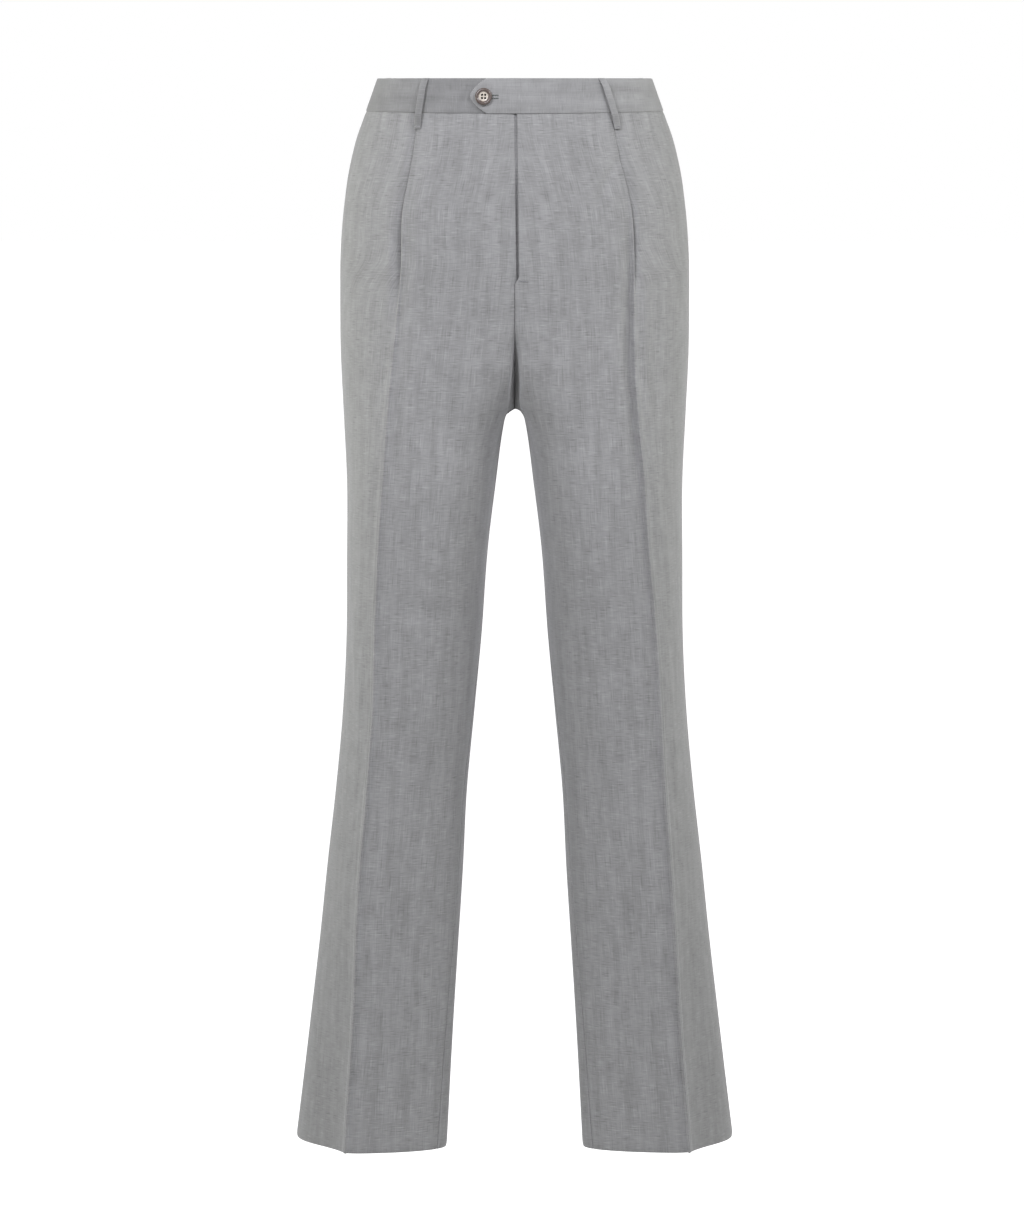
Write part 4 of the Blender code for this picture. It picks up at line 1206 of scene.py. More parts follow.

# %% [markdown]
# ## Folds placed one by one
#
# Pressed wool hangs in very shallow folds: a dip beside the fly, a pull from the pleat, a trough
# inside the crease, a faint bar at the knee where the cloth was folded for storing.  Each is a
# line from one point of the cloth to another with a width and a height, positive for a ridge and
# negative for a trough, and no two are alike.

# %% Folds of the fronts
FOLD_COLUMNS = ("corner", "from_tape", "from_z", "to_tape", "to_z", "bow", "width", "height")
FRONT_FOLDS = {
    RIGHT: (
        (CENTRE, 8.0, -40.0, 9.5, -205.0, 1.0, 4.2, -1.0),
        (CREASE, -1.6, -118.0, -1.6, -204.0, 0.0, 2.6, 0.8),
        (CENTRE, 20.0, -70.0, 17.0, -230.0, -2.0, 7.0, 1.05),
        (CREASE, -30.0, -70.0, -62.0, -130.0, 3.0, 9.0, -1.05),
        (CREASE, -16.0, -60.0, -12.0, -220.0, 1.0, 8.0, 0.75),
        (CREASE, 18.0, -90.0, 14.0, -235.0, 0.0, 7.0, 1.35),
        (CREASE, -9.0, -240.0, -10.0, -470.0, 1.5, 6.5, -1.2),
        (CREASE, -52.0, -255.0, -88.0, -322.0, 4.0, 9.0, 1.2),
        (CREASE, -40.0, -330.0, -96.0, -372.0, 5.0, 10.0, -1.35),
        (CREASE, -34.0, -395.0, -92.0, -420.0, 4.0, 14.0, 1.2),
        (CREASE, 6.0, -330.0, 48.0, -452.0, 5.0, 12.0, 1.2),
        (CREASE, 40.0, -500.0, 12.0, -690.0, -6.0, 13.0, 2.1),
        (CREASE, 14.0, -541.0, -96.0, -541.5, 0.0, 4.6, 0.55),
        (CREASE, -12.0, -520.0, -86.0, -538.0, 2.0, 13.0, -1.35),
        (CREASE, -20.0, -640.0, -84.0, -742.0, 6.0, 16.0, -1.2),
        (CREASE, -46.0, -800.0, -14.0, -1010.0, -5.0, 15.0, 1.05),
        (CREASE, -82.0, -860.0, -60.0, -1060.0, 4.0, 14.0, -1.05),
        (CREASE, 34.0, -780.0, 50.0, -1020.0, 5.0, 15.0, 1.35),
    ),
    LEFT: (
        (CREASE, 3.0, -58.0, -42.0, -118.0, 2.0, 5.0, -2.5),
        (CREASE, -40.0, -112.0, -54.0, -150.0, 0.0, 5.5, -0.75),
        (CREASE, -8.0, -70.0, -50.0, -140.0, 4.0, 8.0, 0.9),
        (CREASE, -24.0, -150.0, -26.0, -420.0, -2.0, 8.0, 0.9),
        (CREASE, 16.0, -170.0, 15.0, -330.0, 1.0, 7.0, 1.65),
        (CENTRE, 13.0, -110.0, 15.0, -270.0, -2.0, 7.0, -0.75),
        (CREASE, -60.0, -250.0, -96.0, -312.0, 4.0, 9.0, 1.05),
        (CREASE, -50.0, -345.0, -104.0, -366.0, 4.0, 11.0, -1.35),
        (CREASE, -70.0, -330.0, -66.0, -520.0, 2.0, 5.0, -0.7),
        (CREASE, -42.0, -400.0, -46.0, -560.0, 3.0, 13.0, 1.2),
        (CREASE, 8.0, -360.0, 46.0, -520.0, 4.0, 12.0, 1.35),
        (CREASE, 8.0, -542.5, -98.0, -541.5, 0.0, 4.6, 0.45),
        (CREASE, -14.0, -575.0, -84.0, -600.0, 3.0, 13.0, -1.2),
        (CREASE, 14.0, -560.0, 36.0, -720.0, 5.0, 13.0, 1.5),
        (CREASE, -84.0, -640.0, -62.0, -830.0, 5.0, 13.0, -1.35),
        (CREASE, -44.0, -730.0, -34.0, -1000.0, -4.0, 14.0, 1.2),
        (CREASE, 30.0, -850.0, 44.0, -1060.0, 4.0, 14.0, -1.2),
    ),
}
print("folds in the fronts:", len(FRONT_FOLDS[LEFT]), "left and", len(FRONT_FOLDS[RIGHT]), "right")

# %% [markdown]
# ## Folds of the backs
#
# Under the seat the cloth falls in a few slanting folds towards the fork, and behind the knee in
# short ones, because that is where the leg bends most.  Their table reads as the one above, and
# one function adds up either.

# %% Folds of the backs
BACK_FOLDS = {
    RIGHT: (
        (REAR, -20.0, -60.0, -46.0, -190.0, 4.0, 12.0, 1.2),
        (REAR, 30.0, -90.0, 10.0, -210.0, 4.0, 11.0, -1.35),
        (REAR, 58.0, -215.0, 4.0, -262.0, 5.0, 8.0, -2.4),
        (REAR, 54.0, -240.0, -10.0, -292.0, 5.0, 9.0, 1.95),
        (REAR, 48.0, -276.0, -18.0, -328.0, 4.0, 9.0, -2.25),
        (REAR, -30.0, -300.0, -64.0, -420.0, -4.0, 12.0, 1.35),
        (REAR, 44.0, -380.0, 6.0, -436.0, 4.0, 11.0, 1.35),
        (REAR, -14.0, -480.0, -58.0, -560.0, 5.0, 13.0, -1.65),
        (REAR, 12.0, -520.0, 60.0, -560.0, 3.0, 12.0, -1.8),
        (REAR, 10.0, -580.0, 54.0, -606.0, 3.0, 11.0, 1.35),
        (REAR, 50.0, -690.0, 20.0, -860.0, 4.0, 14.0, -1.2),
        (REAR, -24.0, -740.0, -52.0, -980.0, 5.0, 14.0, 1.35),
        (SIDE, 22.0, -210.0, 28.0, -420.0, 4.0, 13.0, -1.2),
        (SIDE, 26.0, -620.0, 18.0, -900.0, -4.0, 14.0, 1.2),
    ),
    LEFT: (
        (REAR, -14.0, -70.0, -40.0, -176.0, -4.0, 12.0, -1.2),
        (REAR, 36.0, -70.0, 22.0, -200.0, 3.0, 12.0, 1.2),
        (REAR, 62.0, -226.0, 12.0, -258.0, 4.0, 8.0, -1.95),
        (REAR, 56.0, -250.0, -6.0, -310.0, 6.0, 9.0, 2.1),
        (REAR, 46.0, -294.0, -26.0, -336.0, 4.0, 9.0, -2.55),
        (REAR, 40.0, -352.0, -8.0, -398.0, 4.0, 10.0, 1.35),
        (REAR, -34.0, -330.0, -56.0, -470.0, 4.0, 12.0, 1.2),
        (REAR, -18.0, -500.0, -62.0, -548.0, 4.0, 12.0, 1.5),
        (REAR, 10.0, -540.0, 62.0, -574.0, 3.0, 12.0, -1.95),
        (REAR, 8.0, -604.0, 50.0, -622.0, 3.0, 10.0, 1.2),
        (REAR, 46.0, -720.0, 24.0, -930.0, -4.0, 14.0, 1.2),
        (REAR, -20.0, -700.0, -50.0, -900.0, 4.0, 14.0, -1.35),
        (SIDE, 20.0, -180.0, 30.0, -380.0, -3.0, 13.0, 1.2),
        (SIDE, 24.0, -560.0, 16.0, -820.0, 4.0, 14.0, -1.35),
    ),
}


def add_folds(rows, z, tape, corners):
    """Height of every fold of a table, added up on a panel's grid; the corner's tape is its zero."""
    total = np.zeros_like(tape)
    high = np.broadcast_to(z[:, None], tape.shape)
    for row in rows:
        fold = dict(zip(FOLD_COLUMNS, row))
        from_corner = tape - corners[:, fold["corner"]][:, None]
        total += fold_shape(from_corner, high, (fold["from_tape"], fold["from_z"]),
                            (fold["to_tape"], fold["to_z"]), fold["width"], fold["height"], fold["bow"])
    return total


print("folds in the backs:", len(BACK_FOLDS[LEFT]), "left and", len(BACK_FOLDS[RIGHT]), "right")

# %% [markdown]
# ## Pressed creases
#
# The iron leaves a hard line down the middle of each leg.  The cloth stands proud along it, just
# outside it there is a blunt shoulder that catches the light, and on its inner side the front
# falls away into a shallow valley with a short wall at the crease.  That valley is what makes
# one side of the crease pale and the other dark.

# %% Creases and their valleys
CREASE_RIDGE = 0.8
CREASE_RIDGE_WIDTH = 1.4
CREASE_SHOULDER = 0.7
CREASE_SHOULDER_AT = 3.6
CREASE_SHOULDER_WIDTH = 2.4
VALLEY_COLUMNS = ("z", "right", "left")
VALLEY = (
    (-92.0, 0.0, 0.0),
    (-120.0, 0.3, 1.2),
    (-148.0, 0.6, 3.0),
    (-190.0, 0.7, 5.2),
    (-240.0, 0.9, 7.4),
    (-310.0, 0.8, 7.2),
    (-395.0, 0.6, 5.0),
    (-480.0, 1.2, 3.8),
    (-560.0, 1.7, 3.0),
    (-720.0, 2.2, 2.9),
    (-820.0, 2.0, 3.0),
    (-930.0, 2.1, 3.1),
    (-1094.0, 2.2, 3.2),
)
VALLEY_WIDE = 16.0
VALLEY_POWER = 1.5
VALLEY_WALL = 1.7


def pressed_ridge(z, from_crease, starts, ends):
    """How proud a crease stands: a narrow bell across it plus a softer one just outside it."""
    grown = (1.0 - share_above(z, ends, starts))[:, None]
    ridge = CREASE_RIDGE * np.exp(-((from_crease / CREASE_RIDGE_WIDTH) ** 2))
    from_shoulder = (from_crease - CREASE_SHOULDER_AT) / CREASE_SHOULDER_WIDTH
    return grown * (ridge + CREASE_SHOULDER * np.exp(-(from_shoulder ** 2)))


def valley(z, from_crease, hand):
    """The dip on the inner side of a crease: deeper by a power of the way in, then a short wall."""
    depth = straight_column(VALLEY, VALLEY_COLUMNS, HAND_NAMES[hand], z)
    way_in = np.clip((from_crease + VALLEY_WIDE) / (VALLEY_WIDE - VALLEY_WALL), 0.0, 1.0)
    slope = way_in ** VALLEY_POWER
    wall = ease(-from_crease / VALLEY_WALL)
    return depth[:, None] * slope * wall


print("deepest valley:", max(max(row[1:]) for row in VALLEY), "mm")

# %% [markdown]
# ## Columns of a panel
#
# Columns are crowded where the cloth turns sharply: at a crease, and beside a centre seam, where
# it dives down a wall into the fork and round a shoulder back to the broad front.

# %% Columns
NEAR_CREASE = np.array([5.0, 3.2, 1.9, 1.3, 0.8, 0.4])
WALL_COLUMNS, SHOULDER_COLUMNS, FRONT_BETWEEN = 10, 16, 30
SHOULDER = 17.0
WALL_SHORTER, WALL_LEAST = 4.0, 2.0


def spread(start, end, count, power=1.0):
    """Columns between two edges, both left out, their spacing growing with the power."""
    share = (np.arange(1, count + 1) / (count + 1)) ** power
    return start + (end - start) * share


def from_seam(first, wall, last, count):
    """Columns from a seam's edge down the wall that dives, round its shoulder and on to the crease."""
    top = np.maximum(wall - WALL_SHORTER, first + WALL_LEAST)
    out = top + SHOULDER
    return np.concatenate([spread(first, top, WALL_COLUMNS), top, spread(top, out, SHOULDER_COLUMNS),
                           out, spread(out, last, count)], axis=1)


print("columns from a seam to its crease:", WALL_COLUMNS + SHOULDER_COLUMNS + FRONT_BETWEEN + 2)

# %% [markdown]
# ## Two fronts
#
# A front's columns run from the fly or the centre seam, over the broad inner part, to the
# crease.  There the pleat's links follow, and then the outer part up to the side seam.  Tape and
# sink of all columns go to the skin at once, and the grid becomes a sheet with its own cut.

# %% Fronts
CLOTH = 0.55
FRONT_OUTER = 32
FRONT_CREASE_GROWS = (-222.0, -262.0)


def front_panel(hand):
    """One front: edge, inner part, pleat, outer part and side seam, side by side on every row."""
    z = Z_ROWS
    corners = corner_lengths(z, hand)
    crease, side = (corners[:, [i]] for i in (CREASE, SIDE))
    edge_tape, edge_sink = front_edge(z, hand)
    wall = wall_length(z, FRONT_RISE_TURNS, "front", hand)
    between = from_seam(edge_tape[:, -1:], wall, crease - NEAR_CREASE[0], FRONT_BETWEEN)
    fold_tape, fold_sink = pleat_columns(z, hand)
    fold_tape = fold_tape + crease
    side_tape, side_sink = seam_edge(0 * side)
    outer = spread(fold_tape[:, -1:], side - side_tape[:, -1:], FRONT_OUTER)
    flat = np.concatenate([between, crease - NEAR_CREASE, crease], axis=1)
    flat_sink = np.zeros_like(flat)
    if hand == RIGHT:
        under = share_above(z, LAP_LEVELS, LAP_ENDS)[:, None]
        flat_sink = under * lap_sink(z, flat)
    tape = np.concatenate([edge_tape, flat, fold_tape, outer, side - side_tape[:, ::-1]], axis=1)
    sink = np.concatenate([edge_sink, flat_sink, fold_sink, 0 * outer, side_sink[:, ::-1]], axis=1)
    folds = add_folds(FRONT_FOLDS[hand], z, tape, corners)
    folds += pressed_ridge(z, tape - crease, *FRONT_CREASE_GROWS) - valley(z, tape - crease, hand)
    points = lay_panel(z, tape, sink + ROW_SINK - folds, hand)
    crease_column = edge_tape.shape[1] + flat.shape[1] - 1
    return sheet_piece("front_" + HAND_NAMES[hand], hand, points, crease_column)


def sheet_piece(node, hand, points, grain_column):
    """The mesh of an open sheet, with its grain map, which lays it out flat as cut, and its wall."""
    rows, columns = points.shape[:2]
    faces = grid_faces(rows, columns, hand == RIGHT)
    piece = add_piece(node + "_cloth", points, faces, grain(points, grain_column), wool)
    add_wall(piece, CLOTH)
    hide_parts(node)
    show_size(piece)
    return piece


fronts = [front_panel(hand) for hand in (LEFT, RIGHT)]
print("fronts:", *(piece.name for piece in fronts))

# %% [markdown]
# ## Two backs
#
# A back has no pleat.  It starts under the front at the side seam, crosses the seat and the rear
# crease and ends at the centre back, where the left one laps over the right, or at the inseam.

# %% Backs
BACK_OUTER = 36
BACK_INNER = 20
BACK_CREASE_GROWS = (-290.0, -350.0)


def back_panel(hand):
    """One back: side seam, outer part, rear crease, inner part and centre seam on every row."""
    z = Z_ROWS
    corners = corner_lengths(z, hand)
    side, rear, end = (corners[:, [i]] for i in (SIDE, REAR, END))
    end = end + seam_forward(z)
    side_tape, side_sink = seam_edge(1 + 0 * side)
    beneath = 1.0 - share_above(z, *FORK_CHANGES)[:, None] * (hand == LEFT)
    end_tape, end_sink = seam_edge(beneath)
    end_sink = end_sink * inseam_depth(z)
    first = side + side_tape
    last = end - end_tape[:, ::-1]
    outer = spread(first[:, -1:], rear - NEAR_CREASE[0], BACK_OUTER)
    crease = np.concatenate([rear - NEAR_CREASE, rear, rear + NEAR_CREASE[::-1]], axis=1)
    wall = wall_length(z, BACK_RISE_TURNS, "back", hand)
    inner = end - from_seam(end - last[:, :1], wall, end - rear - NEAR_CREASE[0], BACK_INNER)[:, ::-1]
    tape = np.concatenate([first, outer, crease, inner, last], axis=1)
    flat = np.zeros_like(np.concatenate([outer, crease, inner], axis=1))
    sink = np.concatenate([side_sink, flat, end_sink[:, ::-1]], axis=1)
    folds = add_folds(BACK_FOLDS[hand], z, tape, corners)
    folds += pressed_ridge(z, tape - rear, *BACK_CREASE_GROWS)
    points = lay_panel(z, tape, sink + ROW_SINK - folds, hand)
    crease_column = first.shape[1] + outer.shape[1] + len(NEAR_CREASE)
    return sheet_piece("back_" + HAND_NAMES[hand], hand, points, crease_column)


backs = [back_panel(hand) for hand in (LEFT, RIGHT)]
print("backs:", *(piece.name for piece in backs))

# %% [markdown]
# ## Fly shield
#
# Behind the left front a strip of the same cloth closes the fly.  Little of it shows, but without
# it the fly's dark line would be a slit that one can look through.

# %% Fly shield
SHIELD_LEFT = 34.0
SHIELD_RIGHT = -8.0
SHIELD_SINK = 7.6
SHIELD_SHORTER = 2.0
SHIELD_ROWS, SHIELD_COLUMNS = 60, 30


def fly_shield():
    """A plain sheet on the skin at an even depth behind the fly."""
    z = np.linspace(WAIST_SEAM - 2 * SEAM_GAP, FLY_END + SHIELD_SHORTER, SHIELD_ROWS)
    tape = np.tile(np.linspace(SHIELD_RIGHT, SHIELD_LEFT, SHIELD_COLUMNS), (SHIELD_ROWS, 1))
    return sheet_piece("fly_shield", LEFT, skin(z, tape, 0 * tape + SHIELD_SINK, LEFT), 0)


shield = fly_shield()
print("behind the fly:", shield.name)

# %% [markdown]
# ## Belt loops
#
# A belt loop is a narrow folded strip, stitched down at the top edge of the band and just below
# the waist seam, and free between, so it stands off the band in a low arch.  The two in front
# lean outwards a little.  Its outline is the band's flat ring again, carried down a middle line.

# %% Belt loops
LOOP = 1.3
LOOP_WIDTH = 7.7
LOOP_TOP = BAND_TOP + 0.1
LOOP_FOOT = -32.0
LOOP_ARCH = 3.2
LOOP_CROWN = 0.22
LOOP_RINGS, LOOP_FLATS, LOOP_TURNS = 60, 10, 5
OVER_THE_EDGE = 1.6
FOOT_TUCKED = 0.35
SIDES_APART = 40
BAND_STEP_OVER = 8.0
# Shares of the loop's length: where its arch rises and falls, its bend over the edge, its foot.
RISE_SHARE, FALL_SHARE, EDGE_SHARE, FOOT_SHARE = 0.2, 0.28, 0.035, 0.025
LOOP_COLUMNS = ("name", "hand", "corner", "top_tape", "foot_tape")
LOOPS = (
    ("belt_loop_front_left", LEFT, CENTRE, 91.5, 108.5),
    ("belt_loop_front_right", RIGHT, CENTRE, 93.8, 101.8),
    ("belt_loop_side_left", LEFT, SIDE, 42.0, 42.0),
    ("belt_loop_side_right", RIGHT, SIDE, 42.0, 42.0),
    ("belt_loop_back", LEFT, END, 0.0, 0.0),
)


def belt_loop(name, hand, corner, top_tape, foot_tape):
    """A flat ring carried down a middle line, its lift the product of a soft step from each end."""
    share = np.linspace(0.0, 1.0, LOOP_RINGS)
    share = 0.5 * share + 0.5 * ease(share)
    z = LOOP_TOP + (LOOP_FOOT - LOOP_TOP) * share
    middle = top_tape + (foot_tape - top_tape) * share
    across, depth = strip_ring(LOOP_WIDTH / 2, LOOP / 2, LOOP_FLATS, LOOP_TURNS)
    arch = ease(share / RISE_SHARE) * ease((1.0 - share) / FALL_SHARE) * LOOP_ARCH
    proud = BAND_PROUD * ease((z - WAIST_SEAM + BAND_STEP_OVER) / BAND_STEP_OVER)
    over_edge = OVER_THE_EDGE * (1.0 - ease(share / EDGE_SHARE)) ** 2
    tucked = FOOT_TUCKED * ease((share - (1.0 - FOOT_SHARE)) / FOOT_SHARE)
    lift = LOOP + SEAM_GAP + proud + arch - over_edge - tucked
    crown = LOOP_CROWN * (1.0 - (across / (LOOP_WIDTH / 2)) ** 2) * (depth < LOOP / 2)
    tape = corner_lengths(z, hand)[:, [corner]] + middle[:, None] + across[None, :]
    sink = -(lift[:, None] + crown[None, :]) + depth[None, :]
    rings = skin(z, tape, sink, hand).transpose(1, 0, 2)
    values = pair(*np.broadcast_arrays((across + SIDES_APART * depth)[:, None], z[None, :]))
    # Loops on the right take the right half band's material, darkened as painted shade.
    piece = tube_piece(name + "_cloth", rings, values, hand == RIGHT, band_wool[hand])
    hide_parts(name)
    return piece


loops = [belt_loop(**dict(zip(LOOP_COLUMNS, row))) for row in LOOPS]
show_size(loops[0])

# %% [markdown]
# ## Button
#
# A trouser button of horn is turned on a lathe, with a rounded rim and a dished middle, and then
# drilled with four holes.  The profile is a list of radius and height, and turning it is a grid
# of profile x angle.  Four drills, turned in the same way, are taken out with a Boolean.

# %% Turning and drilling
BUTTON_PROFILE = (
    (0.0, 0.0), (5.0, 0.0), (6.9, 0.12), (7.9, 0.45), (8.5, 1.0), (8.75, 1.7), (8.7, 2.4),
    (8.45, 2.95), (8.0, 3.35), (7.4, 3.58), (6.8, 3.62), (6.3, 3.5), (5.8, 3.2), (5.3, 2.85),
    (4.8, 2.6), (4.2, 2.45), (3.0, 2.35), (1.5, 2.3), (0.0, 2.3),
)
BUTTON_STEPS, DRILL_STEPS = 72, 20
HOLE_RADIUS = 1.2
DRILL = ((0.0, -1.0), (HOLE_RADIUS, -1.0), (HOLE_RADIUS, 6.0), (0.0, 6.0))
HOLE_PITCH = 1.6
HOLES = tuple((x, y) for x in (-HOLE_PITCH, HOLE_PITCH) for y in (-HOLE_PITCH, HOLE_PITCH))


def turned(name, profile, steps, places=((0.0, 0.0),)):
    """Lathe shapes at some places: radius x cosine and radius x sine of the angle round each axis."""
    radius, height = np.array(profile).T
    angle = np.linspace(0.0, 2 * math.pi, steps, endpoint=False)[:, None]
    one = np.stack([radius * np.cos(angle), radius * np.sin(angle), height + 0 * angle], axis=-1)
    points = np.stack([one + np.array([x, y, 0.0]) for x, y in places])
    faces = grid_faces(steps, len(profile), False, around=True)
    faces = np.concatenate([faces + i * steps * len(profile) for i in range(len(places))])
    return welded(plain_mesh(name, points, faces))


def button_shape():
    """The turned blank less four drills, read back as one mesh."""
    blank, drills = (
        bpy.data.objects.new(mesh.name, mesh)
        for mesh in (turned("button_blank", BUTTON_PROFILE, BUTTON_STEPS),
                     turned("drills", DRILL, DRILL_STEPS, HOLES)))
    for thing in (blank, drills):
        home.objects.link(thing)
    cut = blank.modifiers.new("holes", "BOOLEAN")
    cut.operation = "DIFFERENCE"
    cut.object = drills
    bpy.context.view_layer.update()
    drilled = blank.evaluated_get(bpy.context.evaluated_depsgraph_get())
    mesh = bpy.data.meshes.new_from_object(drilled)
    for thing in (blank, drills):
        bpy.data.objects.remove(thing, do_unlink=True)
    return mesh


print("button:", 2 * max(radius for radius, height in BUTTON_PROFILE), "mm across")

# %% [markdown]
# ## Horn
#
# Horn is brown and pale in one piece: dark at the rim, milky where the dish is cut through to the
# core, with slow streaks along its growth.  It is polished, so it has a low roughness and a thin
# coat of gloss.  The colour is a function of the radius, made wavy by a noise.

# %% Horn
HORN_RIM = "#4c3f40"
HORN_EDGE = "#6f6257"
HORN_CORE = "#cdc4b6"
HORN_WELL_RADIUS = 4.9 * MM
HORN_RIM_BLENDS = 1.2 * MM
HORN_WAVE = 1.3 * MM
HORN_WAVE_SCALE = 260.0
HORN_STREAK_SCALE = (420.0, 120.0, 1.0)
HORN_STREAK_TURN = 0.9


def horn():
    """Polished horn: pale core, brown rim, broken by slow streaks of both."""
    material, tree, shader = new_material("polished_horn")
    flat = add_node(tree, "ShaderNodeUVMap", uv_map=CLOTH_MAP).outputs["UV"]
    radius = add_node(tree, "ShaderNodeVectorMath", {0: flat}, operation="LENGTH").outputs["Value"]
    wavy = add_node(tree, "ShaderNodeTexNoise", {
        "Vector": flat, "Scale": HORN_WAVE_SCALE, "Detail": 3.0}).outputs["Fac"]
    shifted = add_node(tree, "ShaderNodeMath", {0: wavy, 1: HORN_WAVE, 2: radius},
                       operation="MULTIPLY_ADD").outputs["Value"]
    rim = add_node(tree, "ShaderNodeMapRange", {
        "Value": shifted, "From Min": HORN_WELL_RADIUS,
        "From Max": HORN_WELL_RADIUS + HORN_RIM_BLENDS},
        interpolation_type="SMOOTHSTEP").outputs["Result"]
    streak = add_node(tree, "ShaderNodeMapping", {
        "Vector": flat, "Rotation": (0.0, 0.0, HORN_STREAK_TURN), "Scale": HORN_STREAK_SCALE})
    streaks = add_node(tree, "ShaderNodeTexNoise", {
        "Vector": streak.outputs["Vector"], "Scale": 1.0, "Detail": 3.0}).outputs["Fac"]
    brown = add_node(tree, "ShaderNodeMix", {
        "Factor": streaks, 6: linear(HORN_RIM), 7: linear(HORN_EDGE)}, data_type="RGBA").outputs[2]
    colour = add_node(tree, "ShaderNodeMix", {
        "Factor": rim, 6: linear(HORN_CORE), 7: brown}, data_type="RGBA").outputs[2]
    tree.links.new(colour, shader.inputs["Base Color"])
    shader.inputs["Roughness"].default_value = 0.32
    shader.inputs["IOR"].default_value = 1.54
    shader.inputs["Coat Weight"].default_value = 0.3
    return material


polished_horn = horn()
print("material:", polished_horn.name)

# %% [markdown]
# ## The button on its tab
#
# The button sits flat on the tab, so its place is worked out from three points of the band: one
# under its middle, one to the right and one above.  Their differences give the directions that
# the mesh is turned to.  The place goes into the mesh, and the object stays at the origin.

# %% Button
BUTTON_TAPE = 14.5 - TAB_TIP
BUTTON_Z = 0.5
BUTTON_CLEAR = 0.25
BESIDE = 5.0
HARD_EDGE = math.radians(40.0)
ON_TAB = BAND_PROUD + TAB_LIFT + BAND_CROWN


def seat_on_tab(mesh):
    """Turn and move a mesh in mm from the lathe's axis to the button's place, in metres."""
    here, beside, above = (
        Vector(band_surface(BUTTON_Z + dz, BUTTON_TAPE + dt, -ON_TAB, LEFT))
        for dz, dt in ((0.0, 0.0), (0.0, BESIDE), (BESIDE, 0.0)))
    right = (beside - here).normalized()
    out = right.cross((above - here).normalized()).normalized()
    facing = Matrix((right, out.cross(right), out)).transposed().to_4x4()
    mesh.transform(Matrix.Translation(here + out * BUTTON_CLEAR) @ facing)
    mesh.transform(Matrix.Scale(MM, 4))
    mesh.shade_smooth()


def button():
    """The drilled blank on the tab; its map keeps the places that it had on the lathe."""
    mesh = button_shape()
    flat = np.empty(3 * len(mesh.vertices))
    mesh.vertices.foreach_get("co", flat)
    seat_on_tab(mesh)
    while mesh.uv_layers:
        mesh.uv_layers.remove(mesh.uv_layers[0])
    add_map(mesh, flat.reshape(-1, 3)[:, :2] * MM)
    mesh.materials.clear()
    mesh.materials.append(polished_horn)
    mesh.set_sharp_from_angle(angle=HARD_EDGE)
    piece = link_piece("horn_button", mesh)
    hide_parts("button")
    return piece


horn_button = button()
show_size(horn_button)

# %% [markdown]
# ## Thread
#
# Silk or polyester thread is about a third of a millimetre thick and twisted from finer strands,
# so up close its colour is broken along its length, and it shines a little more than the wool.

# %% Thread
TWIST_SCALE = 2600.0
TWIST_SHADE = 0.72


def sewing_thread(name, colour):
    """Twisted thread: its colour and a darker one, mixed by a noise as fine as the strands."""
    material, tree, shader = new_material(name)
    place = add_node(tree, "ShaderNodeTexCoord").outputs["Object"]
    twist = add_node(tree, "ShaderNodeTexNoise", {"Vector": place, "Scale": TWIST_SCALE, "Detail": 1.0})
    dark = tuple(TWIST_SHADE * c for c in linear(colour)[:3]) + (1.0,)
    tone = add_node(tree, "ShaderNodeMix", {
        "Factor": twist.outputs["Fac"], 6: dark, 7: linear(colour)}, data_type="RGBA").outputs[2]
    tree.links.new(tone, shader.inputs["Base Color"])
    shader.inputs["Roughness"].default_value = 0.6
    shader.inputs["Sheen Weight"].default_value = 0.1
    return material


grey_thread = sewing_thread("grey_sewing_thread", "#a2a2a4")
green_grey_thread = sewing_thread("buttonhole_twist", "#6e7672")
horn_thread = sewing_thread("dark_button_thread", "#24231f")
print("threads:", grey_thread.name, green_grey_thread.name, horn_thread.name)

# %% [markdown]
# ## Stitches
#
# A stitch is a short thread whose path rises over the cloth and dives at both ends.  The lift is
# a half wave along its length, and a small circle is carried along it.  All stitches of a row
# are worked out together, as one array of threads x points x circle.

# %% Stitches
THREAD_SIDES = 6
END_SIZE = 0.35


def stitches(name, surface, z, tape, lift, radius, material):
    """Threads through rows of points on a surface: a circle of THREAD_SIDES carried along each.

    z, tape and lift are threads x points.  The circle stands on the surface's normal and on the
    cross product of the normal with the thread's direction, and it narrows to the ends.
    """
    middle = surface(z, tape, -lift)
    normal = surface(z, tape, -lift - 1.0) - middle
    normal /= np.linalg.norm(normal, axis=-1, keepdims=True)
    way = np.gradient(middle, axis=1)
    way /= np.linalg.norm(way, axis=-1, keepdims=True)
    across = np.cross(way, normal)
    across /= np.linalg.norm(across, axis=-1, keepdims=True)
    normal = np.cross(across, way)
    count, steps = middle.shape[:2]
    t = np.linspace(0.0, 1.0, steps)
    full = np.clip(6 * t * (1 - t), 0.0, 1.0)
    size = radius * (END_SIZE + (1.0 - END_SIZE) * full)[None, :, None, None]
    angle = np.linspace(0.0, 2 * math.pi, THREAD_SIDES, endpoint=False)[None, None, :, None]
    rings = middle[:, :, None] + size * (
        np.cos(angle) * across[:, :, None] + np.sin(angle) * normal[:, :, None])
    index = np.arange(rings[..., 0].size).reshape(count, steps, THREAD_SIDES)
    after = np.roll(index, -1, axis=2)
    sides = np.stack([index[:, :-1], after[:, :-1], after[:, 1:], index[:, 1:]], axis=-1)
    faces = sides.reshape(-1, 4).tolist() + index[:, 0, ::-1].tolist() + index[:, -1].tolist()
    values = np.broadcast_to(rings[..., :1] + rings[..., 2:], rings.shape[:3] + (2,))
    piece = add_piece(name, rings, faces, values, material)
    piece.data.update()
    welded(piece.data, distance=0.0)
    return piece


